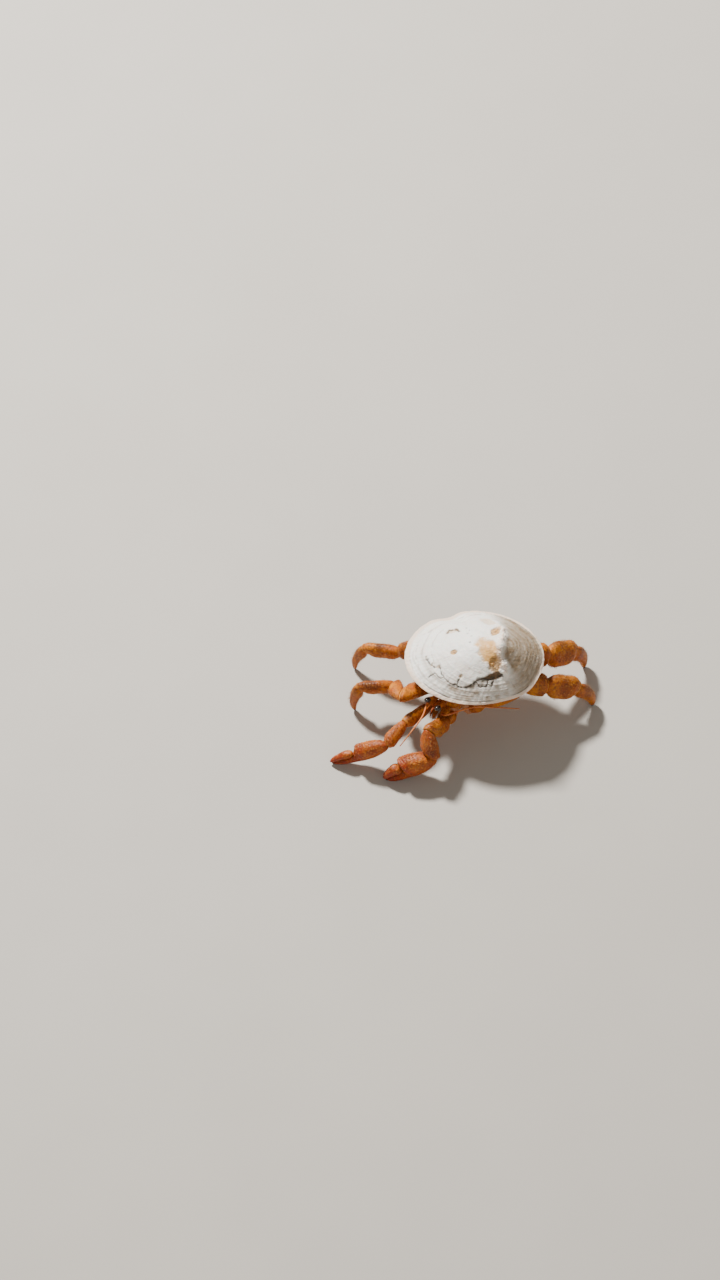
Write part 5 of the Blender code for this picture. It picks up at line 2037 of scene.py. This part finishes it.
def add_camera(stage):
    """A camera that looks down on the crab from its front."""
    level = math.cos(VIEW_ELEVATION)
    back = Vector((
        math.sin(VIEW_AZIMUTH) * level, -math.cos(VIEW_AZIMUTH) * level, math.sin(VIEW_ELEVATION),
    ))
    camera = bpy.data.cameras.new("camera")
    camera.lens = stage.lens
    camera.sensor_width = 36
    camera.clip_start = 0.01
    holder = linked("camera", camera)
    holder.location = (VIEW_AIM - STANCE_CENTRE) * MM + back * stage.distance
    holder.rotation_euler = back.to_track_quat("Z", "Y").to_euler()
    bpy.context.scene.camera = holder


# ======== operators
class HERMIT_OT_shell(bpy.types.Operator):
    """Make the worn shell with its crest, hollows, cracks, growth lines and lining"""

    bl_idname = "hermit.shell"
    bl_label = "Shell"
    bl_options = {"REGISTER", "UNDO"}

    def execute(self, context):
        shell = context.scene.hermit_crab.shell
        add_surfaces("worn_shell", [shell_surface(shell)], "shell_chalk", "shell", "shell")
        return {"FINISHED"}


class HERMIT_OT_shield(bpy.types.Operator):
    """Make the hard front of the carapace"""

    bl_idname = "hermit.shield"
    bl_label = "Carapace shield"
    bl_options = {"REGISTER", "UNDO"}

    def execute(self, context):
        add_surfaces("carapace_shield", [shield_surface()], "limb_crust", "crust", "shield")
        return {"FINISHED"}


class HERMIT_OT_soft_skin(bpy.types.Operator):
    """Make one soft skin for the rear carapace, hips and belly"""

    bl_idname = "hermit.soft_skin"
    bl_label = "Soft skin"
    bl_options = {"REGISTER", "UNDO"}

    def execute(self, context):
        nodes = ("rear_carapace", "abdomen_front", "abdomen_back")
        add_piece("soft_skin", soft_skin_mesh(), "soft_skin", "soft", *nodes)
        return {"FINISHED"}


class HERMIT_OT_breastplate(bpy.types.Operator):
    """Make the jointed breastplate between the hips"""

    bl_idname = "hermit.breastplate"
    bl_label = "Breastplate"
    bl_options = {"REGISTER", "UNDO"}

    def execute(self, context):
        add_surfaces("breastplate", [breastplate_surface()], "limb_crust", "crust", "sternum")
        return {"FINISHED"}


class HERMIT_OT_tail(bpy.types.Operator):
    """Make the tail plate and its side blades"""

    bl_idname = "hermit.tail"
    bl_label = "Tail fan"
    bl_options = {"REGISTER", "UNDO"}

    def execute(self, context):
        add_surfaces("tail_blades", tail_surfaces(), "claw_crust", "claw", "tail_fan")
        return {"FINISHED"}


class HERMIT_OT_head(bpy.types.Operator):
    """Make the eyestalks, antenna bases and jaw feet"""

    bl_idname = "hermit.head"
    bl_label = "Head pieces"
    bl_options = {"REGISTER", "UNDO"}

    def execute(self, context):
        for word, hand in HANDS:
            for kind, surfaces_of in HEAD_PARTS.items():
                node = f"{kind}_{word}"
                add_surfaces(f"{node}_crust", surfaces_of(hand), "limb_crust", "crust", node)
        return {"FINISHED"}


class HERMIT_OT_eyes(bpy.types.Operator):
    """Make the long glossy eyes at the ends of the stalks"""

    bl_idname = "hermit.eyes"
    bl_label = "Eyes"
    bl_options = {"REGISTER", "UNDO"}

    def execute(self, context):
        for word, hand in HANDS:
            node = f"eye_{word}"
            add_surfaces(f"{node}_cornea", [eye_surface(hand)], "eye_cornea", "eye", node)
        return {"FINISHED"}


class HERMIT_OT_antennules(bpy.types.Operator):
    """Make the jointed antennules with their short ringed tips"""

    bl_idname = "hermit.antennules"
    bl_label = "Antennules"
    bl_options = {"REGISTER", "UNDO"}

    def execute(self, context):
        for word, hand in HANDS:
            node = f"antennule_{word}"
            surfaces = antennule_surfaces(hand)
            add_surfaces(f"{node}_joints", surfaces, "feeler_rings", "feeler", node)
        return {"FINISHED"}


class HERMIT_OT_feelers(bpy.types.Operator):
    """Make the ringed antennae along their curves"""

    bl_idname = "hermit.feelers"
    bl_label = "Antennae"
    bl_options = {"REGISTER", "UNDO"}

    def execute(self, context):
        group = feeler_group()
        for word, hand in HANDS:
            node = f"antenna_{word}"
            mesh = feeler_mesh(node, antenna_path(word, hand), group)
            add_piece(f"{node}_rings", mesh, "feeler_rings", "feeler", node)
        return {"FINISHED"}


class HERMIT_OT_legs(bpy.types.Operator):
    """Make the crust of the four walking legs"""

    bl_idname = "hermit.legs"
    bl_label = "Walking legs"
    bl_options = {"REGISTER", "UNDO"}

    def execute(self, context):
        for segment in chain.from_iterable(map(leg_segments, LEGS)):
            node = segment.name
            add_surfaces(f"{node}_crust", [segment_surface(segment)], "limb_crust", "crust", node)
        return {"FINISHED"}


class HERMIT_OT_claws(bpy.types.Operator):
    """Make the crust of the two claw limbs, with toothed fingers"""

    bl_idname = "hermit.claws"
    bl_label = "Claws"
    bl_options = {"REGISTER", "UNDO"}

    def execute(self, context):
        for segment in chain.from_iterable(map(claw_segments, CLAWS)):
            node = segment.name
            plain = segment.part in ("base", "arm")
            finish, slot = ("limb_crust", "crust") if plain else ("claw_crust", "claw")
            add_surfaces(f"{node}_crust", [segment_surface(segment)], finish, slot, node)
        return {"FINISHED"}


class HERMIT_OT_gripping_legs(bpy.types.Operator):
    """Make the small legs that hold the shell from inside"""

    bl_idname = "hermit.gripping_legs"
    bl_label = "Gripping legs"
    bl_options = {"REGISTER", "UNDO"}

    def execute(self, context):
        for word, hand in HANDS:
            for kind in GRIPPING_LEGS:
                node, surface = f"{kind}_{word}", gripping_leg_surface(kind, hand)
                add_surfaces(f"{node}_crust", [surface], "limb_crust", "crust", node)
        return {"FINISHED"}


class HERMIT_OT_joint_skins(bpy.types.Operator):
    """Make the soft folds that close the joints of the limbs"""

    bl_idname = "hermit.joint_skins"
    bl_label = "Joint skins"
    bl_options = {"REGISTER", "UNDO"}

    def execute(self, context):
        surfaces = []
        for pieces in limb_chains():
            jointed = [piece for piece in pieces if piece.part != "finger"]
            surfaces += [joint_skin_surface(*pair) for pair in zip(jointed, jointed[1:])]
        add_surfaces("joint_skins", surfaces, "soft_skin", "soft")
        return {"FINISHED"}


class HERMIT_OT_spines(bpy.types.Operator):
    """Set spines and tubercles on the legs and claws, one piece for each limb"""

    bl_idname = "hermit.spines"
    bl_label = "Spines"
    bl_options = {"REGISTER", "UNDO"}

    def execute(self, context):
        coat = context.scene.hermit_crab.coat
        group = growth_group()
        for seed, limb in enumerate((*LEGS, *CLAWS), 31):
            add_growths(f"{limb}_spines", limb_skins(limb), group, "spine_tip", "claw", {
                "Where": "spines", "Size": "spine_size", "Seed": seed,
                "Length": coat.spine_length, "Thickness": coat.spine_length * SPINE_STOUTNESS,
                "Bluntness": 2.2, "Sides": 7, "Count": SPINE_COUNT / MM**2,
                "Spacing": SPINE_SPACING * MM, "Stand": 2.6, "Bend": 0.12, "Stray": 0.2,
            })
        return {"FINISHED"}


class HERMIT_OT_bristles(bpy.types.Operator):
    """Grow bristles on the limbs and head, one coat for each limb"""

    bl_idname = "hermit.bristles"
    bl_label = "Bristles"
    bl_options = {"REGISTER", "UNDO"}

    def execute(self, context):
        coat = context.scene.hermit_crab.coat
        group = growth_group()
        coats = {limb: limb_skins(limb) for limb in (*LEGS, *CLAWS)}
        coats["head"] = ["carapace_shield", *two_sided(HEAD_PARTS)]
        coats["inner_legs"] = two_sided(GRIPPING_LEGS)
        for seed, (name, skins) in enumerate(coats.items(), 3):
            closer = HEAD_BRISTLES if name == "head" else 1
            add_growths(f"{name}_bristles", skins, group, "bristle_horn", "feeler", {
                "Where": "hair", "Size": "hair_size", "Seed": seed,
                "Length": coat.length, "Thickness": coat.thickness, "Bluntness": 1.3, "Sides": 4,
                "Count": coat.count / MM**2 * closer, "Spacing": 0.0,
                "Stand": 0.8, "Bend": 0.22, "Stray": 0.35,
            })
        return {"FINISHED"}


class HERMIT_OT_stage(bpy.types.Operator):
    """Make the pale floor, the soft lights and the camera"""

    bl_idname = "hermit.stage"
    bl_label = "Floor, light and camera"
    bl_options = {"REGISTER", "UNDO"}

    def execute(self, context):
        stage = context.scene.hermit_crab.stage
        add_floor()
        add_lights(stage)
        add_camera(stage)
        return {"FINISHED"}


MAKERS = (
    HERMIT_OT_shell, HERMIT_OT_shield, HERMIT_OT_soft_skin, HERMIT_OT_breastplate,
    HERMIT_OT_tail, HERMIT_OT_head, HERMIT_OT_eyes, HERMIT_OT_antennules, HERMIT_OT_feelers,
    HERMIT_OT_legs, HERMIT_OT_claws, HERMIT_OT_gripping_legs, HERMIT_OT_joint_skins,
    HERMIT_OT_spines, HERMIT_OT_bristles, HERMIT_OT_stage,
)
SETTINGS = (
    HERMIT_PG_shell, HERMIT_PG_crust, HERMIT_PG_soft, HERMIT_PG_coat, HERMIT_PG_stage,
    HERMIT_PG_look,
)


class HERMIT_PT_panel(bpy.types.Panel):
    """Lists the crab's settings and the buttons that make its pieces"""

    bl_label = "Hermit crab"
    bl_idname = "HERMIT_PT_panel"
    bl_space_type = "VIEW_3D"
    bl_region_type = "UI"
    bl_category = "Hermit crab"

    def draw(self, context):
        look = context.scene.hermit_crab
        for name in HERMIT_PG_look.__annotations__:
            box = self.layout.box()
            group = getattr(look, name)
            for key in group.__annotations__:
                box.prop(group, key)
        for maker in MAKERS:
            self.layout.operator(maker.bl_idname)


def register():
    for thing in (*SETTINGS, *MAKERS, HERMIT_PT_panel):
        bpy.utils.register_class(thing)
    bpy.types.Scene.hermit_crab = bpy.props.PointerProperty(type=HERMIT_PG_look)


def unregister():
    del bpy.types.Scene.hermit_crab
    for thing in reversed((*SETTINGS, *MAKERS, HERMIT_PT_panel)):
        bpy.utils.unregister_class(thing)


def main():
    for leftover in [o for o in bpy.data.objects if o.type in ("LIGHT", "CAMERA")]:
        bpy.data.objects.remove(leftover)
    register()
    for maker in MAKERS:
        group, name = maker.bl_idname.split(".")
        getattr(getattr(bpy.ops, group), name)()


if __name__ == "__main__":
    main()
